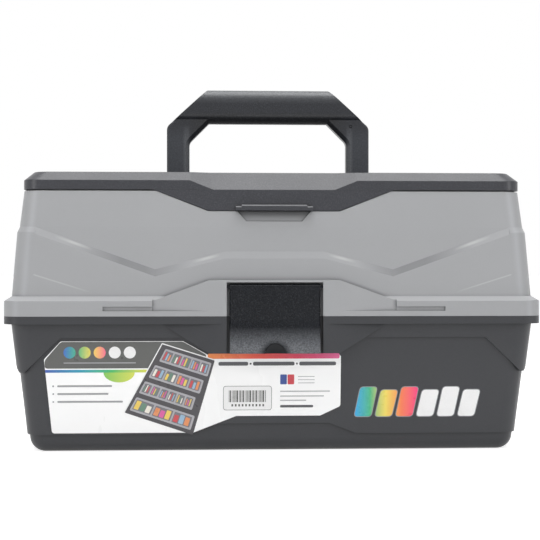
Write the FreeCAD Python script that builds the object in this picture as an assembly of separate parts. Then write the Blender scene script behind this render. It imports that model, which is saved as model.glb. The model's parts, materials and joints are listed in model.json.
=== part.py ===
"""A cantilever tray case: three linked trays in a base, under a lid with its own quick-access bin.

X runs along the case, the front faces -Y and Z is up. The origin is the middle of the bottom face.
Lengths are in millimetres and angles in degrees.
"""

import FreeCAD, Part
import math
import os

from FreeCAD import Rotation, Vector

# ---- overall size ----
RIM_HALF_LENGTH = 226.0
END_TO_FRONT = 108.0  # how much shorter the half depth is than the half length, all the way up
CORNER_RADIUS = 16.0
WALL = 2.6
FIXED_FIT = 0.02
RUNNING_FIT = 0.05
SEAT_GAP = 0.3

# ---- base ----
BASE_HEIGHT = 115.0
BASE_FLOOR = 3.0
BASE_RIM_HEIGHT = 6.5
BASE_RIM_OVERHANG = 5.4
BASE_DRAFT = 6.0
BASE_BOTTOM_FILLET = 13.0
COLLAR_STEP = 2.1
COLLAR_DROP = 47.4  # from the parting line to the collar's corners
COLLAR_CREASE_DROP = 18.0
COLLAR_CORNER_INSET = 7.0
COLLAR_CREASE_RUN = 31.0  # from the collar's corner to where its crease runs level
SKID_STEP = 2.1
SKID_HEIGHT = 15.0
SKID_CENTRE_RISE = 9.0
SKID_RISE_HALF_LENGTH = 47.0
SKID_RISE_RUN = 23.0
TONGUE_HEIGHT = 2.5
TONGUE_THICKNESS = 1.8
TONGUE_GAP = 0.5

# ---- lid ----
LID_HEIGHT = 105.0  # from the parting line to the shoulder under the covers
LID_RIM_HEIGHT = 12.7
LID_RIM_CHAMFER_HEIGHT = 3.9
LID_RIM_OVERHANG = 5.8
LID_LOWER_DRAFT = 4.3
LID_UPPER_DRAFT = 6.5
LID_PANEL_STEP = 1.5
CREASE_END_HEIGHT = 74.5
CREASE_RAMP_HEIGHT = 4.5
CREASE_RAMP_SINK = 1.0  # how far the ramp runs on into the upper panel
CREASE_NOTCH_OVERRUN = 1.5  # how far the notch's cutter is drawn past the panel's step, as a ratio
CREASE_VALLEY_HEIGHT = 39.0
CREASE_FLAT_HEIGHT = 54.0
CREASE_VALLEY_X = 100.0
CREASE_FLAT_HALF_LENGTH = 41.6
NECK_INSET = 3.5
NECK_HEIGHT = 3.5

# ---- latch and its housing ----
HOUSING_HALF_LENGTH = 54.6
HOUSING_TOP_HEIGHT = 30.0
HOUSING_BOTTOM_DROP = 31.0
LID_HOUSING_FOOT_HALF_LENGTH = 102.0
LID_HOUSING_LEDGE_HEIGHT = 4.4  # from the parting line to the foot of the housing's side facets
LID_HOUSING_SETBACK = 1.9  # of the side facets at their outer ends
RIM_BAND_HEIGHT = 3.6  # the groove that runs from each side facet along the lid's rim
RIM_BAND_DEPTH = 1.2
RIM_BAND_HALF_LENGTH = 143.0
BASE_HOUSING_HEAD_HALF_LENGTH = 94.0
BASE_HOUSING_SETBACK = 4.6
BASE_HOUSING_LIP_DROP = 4.2  # from the parting line to the head of the base's side facets
LATCH_HALF_LENGTH = 37.8
LATCH_SIDE_GAP = 2.5
LATCH_AXIS_HEIGHT = 24.4
LATCH_BARREL_RADIUS = 2.6
LATCH_THICKNESS = 4.6
LATCH_FRONT_SETBACK = 0.3
LATCH_DROP = 31.0
LATCH_FLARE_START_DROP = 6.0
LATCH_FLARE = 4.2
LATCH_BEND_RADIUS = 40.0
LATCH_EDGE_CHAMFER = 0.9
LATCH_POCKET_DEPTH = 6.0
LATCH_NOTCH_RADIUS = 8.7
LATCH_NOTCH_DEPTH = 1.8
LATCH_PIN_RADIUS = 1.2
CATCH_DROP = 17.0
CATCH_HEIGHT = 3.0
CATCH_REACH = 0.8

# ---- covers on the lid ----
CAP_GAP = 1.3
CAP_SKIRT_HEIGHT = 7.7
CAP_CHAMFER_HEIGHT = 7.4
CAP_CHAMFER_DEPTH = 7.8
CAP_WALL = 2.5
CAP_PROUD = 0.3
COVER_DROP = 16.5  # from the lid's shoulder to the bottom of the cover
COVER_DROP_HALF_LENGTH = 55.0
COVER_DROP_HEAD_HALF_LENGTH = 102.0
COVER_DROP_WALL = 2.2
COVER_DROP_GAP = 0.6
FACET_FOOT_HEIGHT = 1.0
FACET_SLOPE = 0.9
FACET_HALF_LENGTH = 51.0
FACET_RISE_RUN = 20.0
FACET_TOP_SPREAD = 3.0
TAB_HALF_LENGTH = 32.5
TAB_HEIGHT = 3.7
TAB_REACH = 5.0
TAB_CHAMFER = 1.2
TAB_LIP_INSET = 5.0
TAB_LIP_HEIGHT = 1.2
TAB_LIP_THICKNESS = 2.4
SCOOP_HALF_LENGTH = 31.6
SCOOP_HEIGHT = 9.0
SCOOP_SIDE_RUN = 8.0
SCOOP_DEPTH = 1.3
COVER_AXIS_Y = -20.0
COVER_AXIS_DROP = 3.8
COVER_KNUCKLE_RADIUS = 2.6
COVER_KNUCKLE_LENGTH = 18.0
COVER_HINGE_INSET = 42.0  # from the bin's ends
COVER_PIN_RADIUS = 1.1
COVER_REAR_OVERHANG = 2.5
DECK_FRONT_Y = -15.0

# ---- quick-access bin ----
BIN_END_INSET = 12.9  # from the lid's shoulder to the bin's end walls
BIN_FRONT_INSET = 17.0
BIN_HINGE_GAP = 1.0
BIN_WALL = 2.2
BIN_FLOOR_DROP = 14.0
BIN_RADIUS = 8.0

# ---- carry handle ----
HANDLE_AXIS_Y = -1.0
HANDLE_AXIS_HEIGHT = 6.0  # above the lid's shoulder
HANDLE_DEPTH = 20.0
HANDLE_HALF_LENGTH = 92.3
HANDLE_TOP_HALF_LENGTH = 55.0
HANDLE_REACH = 92.0
HANDLE_SHOULDER_DROP = 34.0
HANDLE_GRIP_HEIGHT = 31.0
HANDLE_LEG_WIDTH = 20.5
HANDLE_INNER_CORNER = 17.5
HANDLE_GRIP_ROUNDING = 9.5
HANDLE_LEG_DEPTH = 16.0
HANDLE_OUTER_CHAMFER = 1.2
HANDLE_INNER_CHAMFER = 3.5
HANDLE_CORNER_RADIUS = 7.0
HANDLE_PIN_RADIUS = 4.0
HANDLE_SIDE_GAP = 2.7
HANDLE_FLOOR_DROP = 8.0
HANDLE_RECESS_GAP = 1.6

# ---- lid hinge ----
HINGE_SETOUT = 4.6  # from the rear of the rims to the pin
HINGE_RADIUS = 4.0
HINGE_PIN_RADIUS = 1.5
HINGE_KNUCKLE_LENGTH = 27.0
HINGE_KNUCKLE_GAP = 0.4
HINGE_INSET = 92.0  # from the rims' ends

# ---- trays and linkage ----
TRAY_END_ROOM = 10.75  # from the lowest tray to the base's walls
TRAY_FRONT_ROOM = 4.75
TRAY_HEIGHT = 36.0
TRAY_PITCH = 38.0
TRAY_WALL = 2.0
TRAY_FLOOR = 1.8
TRAY_RADIUS = 6.0
DIVIDER_THICKNESS = 1.4
DIVIDER_GROOVE = 0.7
DIVIDER_FIT = 0.1
DIVIDER_TOP_DROP = 3.0
CELL_COUNTS = {"lower": 4, "middle": 3, "upper": 4}
ROW_COUNTS = {"lower": 1, "middle": 2, "upper": 2}
ARM_ANGLE = 37.16
ARM_PITCH = 42.5
ARM_THICKNESS = 3.0
ARM_WIDTH = 12.0
ARM_SIDE_GAP = 0.4
ARM_SPACING = 44.0
ARM_PIN_SETBACK = 9.4  # from the upper tray's front to its front pin
ARM_PIVOT_HEIGHT = 5.0  # above the bottom of the lowest tray
PIN_RADIUS = 2.0
PIN_RIB = 1.2
PIVOT_PAD_WIDTH = 14.0
LINK_PIN_CLEARANCE = 0.3
LINK_PIN_SETBACK = 6.0  # from the upper tray's rear
LINK_PIN_DROP = 8.0  # from the upper tray's top
LINK_LUG_WIDTH = 10.0

# ---- label ----
LABEL_THICKNESS = 0.4
LABEL_CORNER_RADIUS = 2.5
LABEL_END_INSET = 24.0  # from the base's end to the label's widest point
LABEL_END_LEAN = 6.0
LABEL_TOP_GAP = 3.0  # below the collar's level crease
LABEL_CORNER_RUN = 14.0
LABEL_CORNER_DROP = 15.0
LABEL_GAP = 1.5  # above the skid and below the housing
LABEL_HOUSING_RUN = 20.5
LABEL_RIGHT_SHELF = 8.0
LABEL_RIGHT_RUN = 17.0
LABEL_SKID_GAP = 6.5
LABEL_SLANT_X = (-68.0, -32.0)

# ---- worked out from the sizes above ----
OVERSIZE = 600.0
TINY = 0.1
RIM_HALF_DEPTH = RIM_HALF_LENGTH - END_TO_FRONT
PARTING_Z = BASE_HEIGHT
BASE_RIM_Z = PARTING_Z - BASE_RIM_HEIGHT
LID_RIM_TOP_Z = PARTING_Z + LID_RIM_HEIGHT
LID_FOOT_Z = LID_RIM_TOP_Z + LID_RIM_CHAMFER_HEIGHT
SHOULDER_Z = PARTING_Z + LID_HEIGHT
CREASE_END_Z = PARTING_Z + CREASE_END_HEIGHT
COLLAR_CORNER_Z = PARTING_Z - COLLAR_DROP
COLLAR_CREASE_Z = PARTING_Z - COLLAR_CREASE_DROP
CAP_BOTTOM_Z = SHOULDER_Z + CAP_GAP
CAP_CHAMFER_Z = CAP_BOTTOM_Z + CAP_SKIRT_HEIGHT
CAP_TOP_Z = CAP_CHAMFER_Z + CAP_CHAMFER_HEIGHT
CAP_UNDERSIDE_Z = CAP_TOP_Z - CAP_WALL
COVER_AXIS_Z = CAP_TOP_Z - COVER_AXIS_DROP
COVER_DROP_Z = SHOULDER_Z - COVER_DROP
FACET_BOTTOM_Z = SHOULDER_Z + FACET_FOOT_HEIGHT
BIN_FLOOR_Z = SHOULDER_Z - BIN_FLOOR_DROP
HANDLE_AXIS_Z = SHOULDER_Z + HANDLE_AXIS_HEIGHT
HANDLE_TOP_Z = HANDLE_AXIS_Z + HANDLE_REACH
HANDLE_SHOULDER_Z = HANDLE_TOP_Z - HANDLE_SHOULDER_DROP
HANDLE_FLOOR_Z = SHOULDER_Z - HANDLE_FLOOR_DROP
HINGE_X = RIM_HALF_LENGTH - HINGE_INSET
HINGE_Y = RIM_HALF_DEPTH + HINGE_SETOUT
LATCH_AXIS_Z = PARTING_Z + LATCH_AXIS_HEIGHT
LATCH_FRONT_Y = -RIM_HALF_DEPTH + LATCH_FRONT_SETBACK
LATCH_AXIS_Y = LATCH_FRONT_Y + LATCH_BARREL_RADIUS
LATCH_BOTTOM_Z = PARTING_Z - LATCH_DROP
POCKET_HALF_LENGTH = LATCH_HALF_LENGTH + LATCH_SIDE_GAP
POCKET_FLOOR_Y = -RIM_HALF_DEPTH + LATCH_POCKET_DEPTH
TRAY_LEVELS = ("lower", "middle", "upper")
HANDLE_RECESS_HALF_LENGTH = HANDLE_HALF_LENGTH + HANDLE_SIDE_GAP
HANDLE_RECESS_FRONT_Y = HANDLE_AXIS_Y - HANDLE_DEPTH / 2 - HANDLE_RECESS_GAP
HANDLE_RECESS_REAR_Y = HANDLE_AXIS_Y + HANDLE_TOP_Z - HANDLE_AXIS_Z + HANDLE_RECESS_GAP


def slope(angle):
    return math.tan(math.radians(angle))


def box(x_range, y_range, z_range):
    """A box between three pairs of limits."""
    size = [high - low for low, high in (x_range, y_range, z_range)]
    return Part.makeBox(*size, Vector(x_range[0], y_range[0], z_range[0]))


def rod(radius, start_x, end_x, y, z):
    """A round bar along X."""
    low, high = min(start_x, end_x), max(start_x, end_x)
    return Part.makeCylinder(radius, high - low, Vector(low, y, z), Vector(1, 0, 0))


def cross_pin(start_x, end_x, y, z):
    """A moulded pin along X with four ribs, whose corners lie on a circle of the pin's radius."""
    x_range = (min(start_x, end_x), max(start_x, end_x))
    half_rib = PIN_RIB / 2
    reach = math.sqrt(PIN_RADIUS ** 2 - half_rib ** 2)
    level = box(x_range, (y - reach, y + reach), (z - half_rib, z + half_rib))
    return level.fuse(box(x_range, (y - half_rib, y + half_rib), (z - reach, z + reach)))


def pin_pad(face_x, wall_x, y, z, width):
    """A square pad that carries a pin, from a wall to its own face."""
    half = width / 2
    return box((min(face_x, wall_x), max(face_x, wall_x)), (y - half, y + half), (z - half, z + half))


def prism_along_y(points, low_y, high_y):
    """A front-view outline of (x, z) points, drawn out between two depths."""
    corners = [Vector(x, low_y, z) for x, z in points]
    face = Part.Face(Part.makePolygon(corners + corners[:1]))
    return face.extrude(Vector(0, high_y - low_y, 0))


def prism_along_x(points, low_x, high_x):
    """A side-view outline of (y, z) points, drawn out between two ends."""
    corners = [Vector(low_x, y, z) for y, z in points]
    face = Part.Face(Part.makePolygon(corners + corners[:1]))
    return face.extrude(Vector(high_x - low_x, 0, 0))


def tapered_block(low, high, radius, round_bottom=False):
    """A block with flat sides between two levels, each (half length, z), and rounded corners."""
    (low_x, low_z), (high_x, high_z) = low, high
    low_y, high_y = low_x - END_TO_FRONT, high_x - END_TO_FRONT
    block = Part.makeWedge(-low_x, low_z, -low_y, -high_y, -high_x, low_x, high_z, low_y, high_y, high_x)
    block.rotate(Vector(0, 0, 0), Vector(1, 0, 0), 90)
    middle_z = (low_z + high_z) / 2
    edges = [edge for edge in block.Edges
             if edge.BoundBox.ZMin < middle_z and (round_bottom or edge.BoundBox.ZMax > middle_z)]
    # on leaning sides this radius keeps the level section's corners the same size
    lean = (low_x - high_x) / (high_z - low_z)
    return block.makeFillet(radius * math.hypot(1, lean), edges)


def case_block(sections, radius=CORNER_RADIUS):
    """A block through levels given as (half length, z), whose sides lean in more and more."""
    bottom, top = sections[0][1], sections[-1][1]
    blocks = []
    for (low_x, low_z), (high_x, high_z) in zip(sections, sections[1:]):
        lean = (low_x - high_x) / (high_z - low_z)
        low = (low_x + (low_z - bottom) * lean, bottom)
        high = (high_x - (top - high_z) * lean, top)
        blocks.append(tapered_block(low, high, radius))
    shape, *rest = blocks
    for block in rest:
        shape = shape.common(block)
    return shape


def rounded_block(x_range, y_range, z_range, radius):
    block = box(x_range, y_range, z_range)
    corners = [edge for edge in block.Edges if edge.BoundBox.ZLength > TINY]
    return block.makeFillet(radius, corners)


def above_plane(point, normal):
    """Everything on the normal's side of a plane, as a very large box."""
    block = Part.makeBox(OVERSIZE, OVERSIZE, OVERSIZE, Vector(-OVERSIZE / 2, -OVERSIZE / 2, 0))
    block.Placement = FreeCAD.Placement(point, Rotation(Vector(0, 0, 1), normal))
    return block


def fused(shapes):
    first, *rest = shapes
    return first.multiFuse(rest).removeSplitter() if rest else first


def both_ends(make):
    """What make builds at the left and right end, given the side as -1 or 1."""
    return [make(side) for side in (-1, 1)]


def base_half(z, inset=0.0):
    top = RIM_HALF_LENGTH - BASE_RIM_OVERHANG
    return top - (BASE_RIM_Z - z) * slope(BASE_DRAFT) - inset


def lid_half(z, inset=0.0):
    """Half length of the lid's lower panel, or above the crease's ends, of its upper panel."""
    foot = RIM_HALF_LENGTH - LID_RIM_OVERHANG
    lower = (min(z, CREASE_END_Z) - LID_FOOT_Z) * slope(LID_LOWER_DRAFT)
    upper = max(z - CREASE_END_Z, 0.0) * slope(LID_UPPER_DRAFT)
    return foot - lower - upper - inset


BIN_HALF_LENGTH = lid_half(SHOULDER_Z, LID_PANEL_STEP + BIN_END_INSET)
BIN_FRONT_Y = END_TO_FRONT - lid_half(SHOULDER_Z, LID_PANEL_STEP + BIN_FRONT_INSET)
BIN_REAR_Y = COVER_AXIS_Y - COVER_KNUCKLE_RADIUS - BIN_HINGE_GAP
COVER_HINGE_X = BIN_HALF_LENGTH - COVER_HINGE_INSET

# the lid carries the upper tray at the arms' length from the lid hinge, and at their angle
ARM_REACH = ARM_PITCH * len(TRAY_LEVELS)
ARM_REACH_Y = ARM_REACH * math.cos(math.radians(ARM_ANGLE))
ARM_REACH_Z = ARM_REACH * math.sin(math.radians(ARM_ANGLE))
LINK_Y = HINGE_Y - ARM_REACH_Y
LINK_Z = PARTING_Z + ARM_REACH_Z
TRAY_LOWEST_Z = LINK_Z + LINK_PIN_DROP - TRAY_HEIGHT - (len(TRAY_LEVELS) - 1) * TRAY_PITCH
TRAY_HALF_LENGTH = base_half(TRAY_LOWEST_Z, COLLAR_STEP + WALL + TRAY_END_ROOM)
TRAY_FRONT_Y = END_TO_FRONT - base_half(TRAY_LOWEST_Z, COLLAR_STEP + WALL + TRAY_FRONT_ROOM)
TRAY_REAR_Y = LINK_Y + LINK_PIN_SETBACK
FRONT_ARM_Y = TRAY_FRONT_Y + ARM_PIN_SETBACK + ARM_REACH_Y
REAR_ARM_Y = FRONT_ARM_Y + ARM_SPACING
ARM_PIVOT_Z = TRAY_LOWEST_Z + ARM_PIVOT_HEIGHT
ARM_INNER_X = TRAY_HALF_LENGTH + ARM_SIDE_GAP
ARM_OUTER_X = ARM_INNER_X + ARM_THICKNESS
BOSS_FACE_X = ARM_OUTER_X + ARM_SIDE_GAP


def arm_point(pivot_y, level):
    """Where an arm carries a tray: level 1 is the lowest tray."""
    share = level / len(TRAY_LEVELS)
    return pivot_y - ARM_REACH_Y * share, ARM_PIVOT_Z + ARM_REACH_Z * share


def knuckle_spans(side, centre_x, length):
    """Two spans along X beside each other: the inner and the outer knuckle of a hinge."""
    gap = side * HINGE_KNUCKLE_GAP / 2
    middle = side * centre_x
    inner = sorted((middle - gap, middle - gap - side * length))
    outer = sorted((middle + gap, middle + gap + side * length))
    return inner, outer


# ---- base ----
def base_outside():
    top = BASE_RIM_Z + TINY
    skid = tapered_block((base_half(0, COLLAR_STEP + SKID_STEP), 0),
                         (base_half(top, COLLAR_STEP + SKID_STEP), top), BASE_BOTTOM_FILLET, True)
    panel = case_block([(base_half(0, COLLAR_STEP), 0), (base_half(top, COLLAR_STEP), top)])
    rise_end = SKID_RISE_HALF_LENGTH + SKID_RISE_RUN
    centre_z = SKID_HEIGHT + SKID_CENTRE_RISE
    above_skid = prism_along_y(
        [(-OVERSIZE, SKID_HEIGHT), (-rise_end, SKID_HEIGHT),
         (-SKID_RISE_HALF_LENGTH, centre_z), (SKID_RISE_HALF_LENGTH, centre_z),
         (rise_end, SKID_HEIGHT), (OVERSIZE, SKID_HEIGHT), (OVERSIZE, OVERSIZE),
         (-OVERSIZE, OVERSIZE)], -OVERSIZE, OVERSIZE)
    collar = case_block([(base_half(0), 0), (base_half(top), top)])
    corner_x = base_half(COLLAR_CORNER_Z, COLLAR_CORNER_INSET)
    corner_y = corner_x - END_TO_FRONT
    above_crease = []
    for corner, draw in ((corner_x, prism_along_y), (corner_y, prism_along_x)):
        outline = [(-OVERSIZE, COLLAR_CORNER_Z), (-corner, COLLAR_CORNER_Z),
                   (-corner + COLLAR_CREASE_RUN, COLLAR_CREASE_Z),
                   (corner - COLLAR_CREASE_RUN, COLLAR_CREASE_Z),
                   (corner, COLLAR_CORNER_Z), (OVERSIZE, COLLAR_CORNER_Z),
                   (OVERSIZE, OVERSIZE), (-OVERSIZE, OVERSIZE)]
        above_crease.append(draw(outline, -OVERSIZE, OVERSIZE))
    rim = case_block([(RIM_HALF_LENGTH, BASE_RIM_Z), (RIM_HALF_LENGTH, PARTING_Z)])
    housing_bottom = PARTING_Z - HOUSING_BOTTOM_DROP
    housing = prism_along_y(
        [(-HOUSING_HALF_LENGTH, housing_bottom), (HOUSING_HALF_LENGTH, housing_bottom),
         (BASE_HOUSING_HEAD_HALF_LENGTH, BASE_RIM_Z), (BASE_HOUSING_HEAD_HALF_LENGTH, PARTING_Z),
         (-BASE_HOUSING_HEAD_HALF_LENGTH, PARTING_Z), (-BASE_HOUSING_HEAD_HALF_LENGTH, BASE_RIM_Z)],
        -RIM_HALF_DEPTH, POCKET_FLOOR_Y + WALL + CAP_WALL)
    collar = collar.common(above_crease[0]).common(above_crease[1])
    for side in (-1, 1):
        housing = housing.cut(base_housing_facet(side))
    return fused([skid, panel.common(above_skid), collar, rim, housing])


def base_housing_facet(side):
    """The space in front of the facet that falls back from the latch to the end of the housing."""
    front = -RIM_HALF_DEPTH
    head = Vector(side * POCKET_HALF_LENGTH, front, PARTING_Z)
    foot = Vector(side * HOUSING_HALF_LENGTH, front, PARTING_Z - HOUSING_BOTTOM_DROP)
    end = Vector(side * BASE_HOUSING_HEAD_HALF_LENGTH, front + BASE_HOUSING_SETBACK, BASE_RIM_Z)
    normal = (foot - head).cross(end - head)
    if normal.y > 0:
        normal = -normal
    below_lip = box((-OVERSIZE, OVERSIZE), (-OVERSIZE, 0), (0, PARTING_Z - BASE_HOUSING_LIP_DROP))
    return above_plane(head, normal).common(below_lip)


def base_inside():
    inset = COLLAR_STEP + SKID_STEP + WALL
    low = base_half(BASE_FLOOR, inset)
    high = base_half(BASE_RIM_Z, COLLAR_STEP + WALL)
    return tapered_block((low, BASE_FLOOR), (high, PARTING_Z + TINY), BASE_BOTTOM_FILLET - WALL, True)


def tongue_half():
    return base_half(BASE_RIM_Z, COLLAR_STEP + WALL) + TONGUE_THICKNESS


def hinge_knuckle(span, upper):
    """One knuckle of the lid hinge with the web that joins it to the lid's or the base's rim."""
    clear = HINGE_KNUCKLE_GAP / 2
    web_z = (PARTING_Z + clear, PARTING_Z + HINGE_RADIUS)
    if not upper:
        web_z = (PARTING_Z - HINGE_RADIUS, PARTING_Z - clear)
    web = box(span, (RIM_HALF_DEPTH - WALL, HINGE_Y), web_z)
    return fused([rod(HINGE_RADIUS, *span, HINGE_Y, PARTING_Z), web])


def base_shell():
    shape = base_outside().cut(base_inside())
    tongue = case_block([(tongue_half(), PARTING_Z - TINY),
                         (tongue_half(), PARTING_Z + TONGUE_HEIGHT)])
    tongue = tongue.cut(case_block([(tongue_half() - TONGUE_THICKNESS, PARTING_Z - 1),
                                    (tongue_half() - TONGUE_THICKNESS, OVERSIZE)],
                                   CORNER_RADIUS - WALL))
    bosses = []
    for side in (-1, 1):
        wall_x = side * base_half(ARM_PIVOT_Z, COLLAR_STEP + WALL / 2)
        for pivot_y in (FRONT_ARM_Y, REAR_ARM_Y):
            bosses.append(pin_pad(side * BOSS_FACE_X, wall_x, pivot_y, ARM_PIVOT_Z, PIVOT_PAD_WIDTH))
            bosses.append(cross_pin(side * ARM_INNER_X, side * (BOSS_FACE_X + TINY),
                                    pivot_y, ARM_PIVOT_Z))
    knuckles = []
    for side in (-1, 1):
        outer = knuckle_spans(side, HINGE_X, HINGE_KNUCKLE_LENGTH)[1]
        knuckles.append(hinge_knuckle(outer, False))
    shape = fused([shape, tongue] + bosses + knuckles)
    pocket_bottom = LATCH_BOTTOM_Z - LATCH_SIDE_GAP / 2
    pocket = box((-POCKET_HALF_LENGTH, POCKET_HALF_LENGTH), (-OVERSIZE, POCKET_FLOOR_Y),
                 (pocket_bottom, OVERSIZE))
    catch_z = PARTING_Z - CATCH_DROP
    catch = box((-LATCH_HALF_LENGTH / 2, LATCH_HALF_LENGTH / 2),
                (POCKET_FLOOR_Y - CATCH_REACH, POCKET_FLOOR_Y + WALL / 2),
                (catch_z, catch_z + CATCH_HEIGHT))
    shape = fused([shape.cut(pocket), catch])
    holes = []
    for side in (-1, 1):
        low, high = knuckle_spans(side, HINGE_X, HINGE_KNUCKLE_LENGTH)[1]
        holes.append(rod(HINGE_PIN_RADIUS + FIXED_FIT, low - TINY, high + TINY, HINGE_Y, PARTING_Z))
    return shape.cut(Part.makeCompound(holes))


# ---- lid ----
def lid_outside():
    upper = case_block([(lid_half(LID_FOOT_Z, LID_PANEL_STEP), LID_FOOT_Z - TINY),
                        (lid_half(CREASE_END_Z, LID_PANEL_STEP), CREASE_END_Z),
                        (lid_half(SHOULDER_Z, LID_PANEL_STEP), SHOULDER_Z)])
    ramp_foot_z = CREASE_END_Z - CREASE_RAMP_HEIGHT
    ramp_foot, ramp_head = lid_half(ramp_foot_z), lid_half(CREASE_END_Z, LID_PANEL_STEP)
    lean = (ramp_foot - ramp_head) / CREASE_RAMP_HEIGHT
    lower = case_block([(lid_half(LID_FOOT_Z), LID_FOOT_Z - TINY), (ramp_foot, ramp_foot_z),
                        (ramp_head - lean * CREASE_RAMP_SINK, CREASE_END_Z + CREASE_RAMP_SINK)])
    lower = lower.cut(crease_notch(-1)).cut(crease_notch(1))
    rim = case_block([(RIM_HALF_LENGTH, PARTING_Z), (RIM_HALF_LENGTH, LID_RIM_TOP_Z),
                      (lid_half(LID_FOOT_Z), LID_FOOT_Z)])
    top = PARTING_Z + HOUSING_TOP_HEIGHT
    foot = LID_HOUSING_FOOT_HALF_LENGTH
    housing = prism_along_y(
        [(-foot, PARTING_Z), (foot, PARTING_Z), (foot, LID_RIM_TOP_Z), (HOUSING_HALF_LENGTH, top),
         (-HOUSING_HALF_LENGTH, top), (-foot, LID_RIM_TOP_Z)],
        -RIM_HALF_DEPTH, POCKET_FLOOR_Y + WALL + CAP_WALL)
    shape = fused([upper, lower, rim, housing])
    for side in (-1, 1):
        shape = shape.cut(lid_housing_facet(side))
    return shape


def lid_housing_facet(side):
    """What the housing's side facet and the groove beside it take off the lid."""
    front = -RIM_HALF_DEPTH
    ledge_z = PARTING_Z + LID_HOUSING_LEDGE_HEIGHT
    near, far = side * HOUSING_HALF_LENGTH, side * LID_HOUSING_FOOT_HALF_LENGTH
    corners = [Vector(near, front, ledge_z), Vector(far, front + LID_HOUSING_SETBACK, ledge_z),
               Vector(far, -OVERSIZE, ledge_z), Vector(near, -OVERSIZE, ledge_z)]
    face = Part.Face(Part.makePolygon(corners + corners[:1]))
    wedge = face.extrude(Vector(0, 0, PARTING_Z + HOUSING_TOP_HEIGHT + TINY - ledge_z))
    ends = sorted((far - side * TINY, side * RIM_BAND_HALF_LENGTH))
    band = box(ends, (-OVERSIZE, front + RIM_BAND_DEPTH), (ledge_z, ledge_z + RIM_BAND_HEIGHT))
    return wedge.fuse(band)


def crease_notch(side):
    """What the V crease takes off the lower panel, on the front (-1) or the back (1)."""
    def on_face(x, z):
        return Vector(x, side * (lid_half(z, LID_PANEL_STEP) - END_TO_FRONT), z)

    end_x = lid_half(CREASE_END_Z) - CORNER_RADIUS
    end_z = CREASE_END_Z
    top_z = CREASE_END_Z + CREASE_RAMP_HEIGHT
    valley_z = PARTING_Z + CREASE_VALLEY_HEIGHT
    flat_z = PARTING_Z + CREASE_FLAT_HEIGHT
    right = [(CREASE_FLAT_HALF_LENGTH, flat_z), (CREASE_VALLEY_X, valley_z), (end_x, end_z)]
    left = [(-x, z) for x, z in reversed(right)]
    outline = left + right + [(end_x, top_z), (-end_x, top_z)]
    # above the crease's ends the upper panel leans in more, so the outline stays in the lower plane
    lean = slope(LID_LOWER_DRAFT)
    corners = []
    for x, z in outline:
        corner = on_face(x, min(z, end_z))
        corner.z = z
        corner.y -= side * max(z - end_z, 0.0) * lean
        corners.append(corner)
    ramp = Vector(0, side * LID_PANEL_STEP, -CREASE_RAMP_HEIGHT) * CREASE_NOTCH_OVERRUN
    return Part.Face(Part.makePolygon(corners + corners[:1])).extrude(ramp)


def drop_outline(spread):
    """Front view of the cover's drop in the middle of the lid, spread outwards all round."""
    foot, head = COVER_DROP_HALF_LENGTH + spread, COVER_DROP_HEAD_HALF_LENGTH + spread
    bottom = COVER_DROP_Z - spread
    return [(-foot, bottom), (foot, bottom), (head, CAP_BOTTOM_Z), (head, CAP_CHAMFER_Z),
            (-head, CAP_CHAMFER_Z), (-head, CAP_BOTTOM_Z)]


def lid_skin_block(offset):
    """The upper part of the lid's outside, moved outwards by an offset."""
    low = CREASE_END_Z
    return case_block([(lid_half(low, LID_PANEL_STEP - offset), low),
                       (lid_half(CAP_CHAMFER_Z, LID_PANEL_STEP - offset), CAP_CHAMFER_Z)])


def lid_inside():
    ceiling = SHOULDER_Z - WALL
    foot = lid_half(LID_FOOT_Z, LID_PANEL_STEP + WALL)
    ceiling_half = lid_half(ceiling, LID_PANEL_STEP + WALL)
    hollow = case_block([(foot, PARTING_Z - TINY), (foot, LID_FOOT_Z), (ceiling_half, ceiling)],
                        CORNER_RADIUS - WALL)
    rebate_half = tongue_half() + TONGUE_GAP
    rebate = case_block([(rebate_half, PARTING_Z - TINY),
                         (rebate_half, PARTING_Z + TONGUE_HEIGHT + TONGUE_GAP)])
    bin_block = rounded_block((-BIN_HALF_LENGTH, BIN_HALF_LENGTH), (BIN_FRONT_Y, BIN_REAR_Y),
                              (BIN_FLOOR_Z - WALL, OVERSIZE), BIN_RADIUS)
    recess_x = HANDLE_RECESS_HALF_LENGTH + WALL
    recess_block = box((-recess_x, recess_x),
                       (HANDLE_RECESS_FRONT_Y - WALL, HANDLE_RECESS_REAR_Y + WALL),
                       (HANDLE_FLOOR_Z - WALL, OVERSIZE))
    drop_back = lid_half(COVER_DROP_Z, LID_PANEL_STEP) - END_TO_FRONT - 2 * WALL
    drop_x = COVER_DROP_HEAD_HALF_LENGTH + WALL
    drop_block = box((-drop_x, drop_x), (-OVERSIZE, -drop_back),
                     (COVER_DROP_Z - COVER_DROP_GAP, OVERSIZE))
    return fused([hollow.cut(bin_block).cut(recess_block).cut(drop_block), rebate])


def link_boss(side):
    """The lug inside the lid, with the pin that carries the upper tray."""
    wall_x = side * lid_half(LINK_Z, LID_PANEL_STEP + WALL / 2)
    lug = pin_pad(side * ARM_INNER_X, wall_x, LINK_Y, LINK_Z, LINK_LUG_WIDTH)
    return lug.fuse(cross_pin(side * (TRAY_HALF_LENGTH - TRAY_WALL), side * (ARM_INNER_X + TINY),
                              LINK_Y, LINK_Z))


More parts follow.
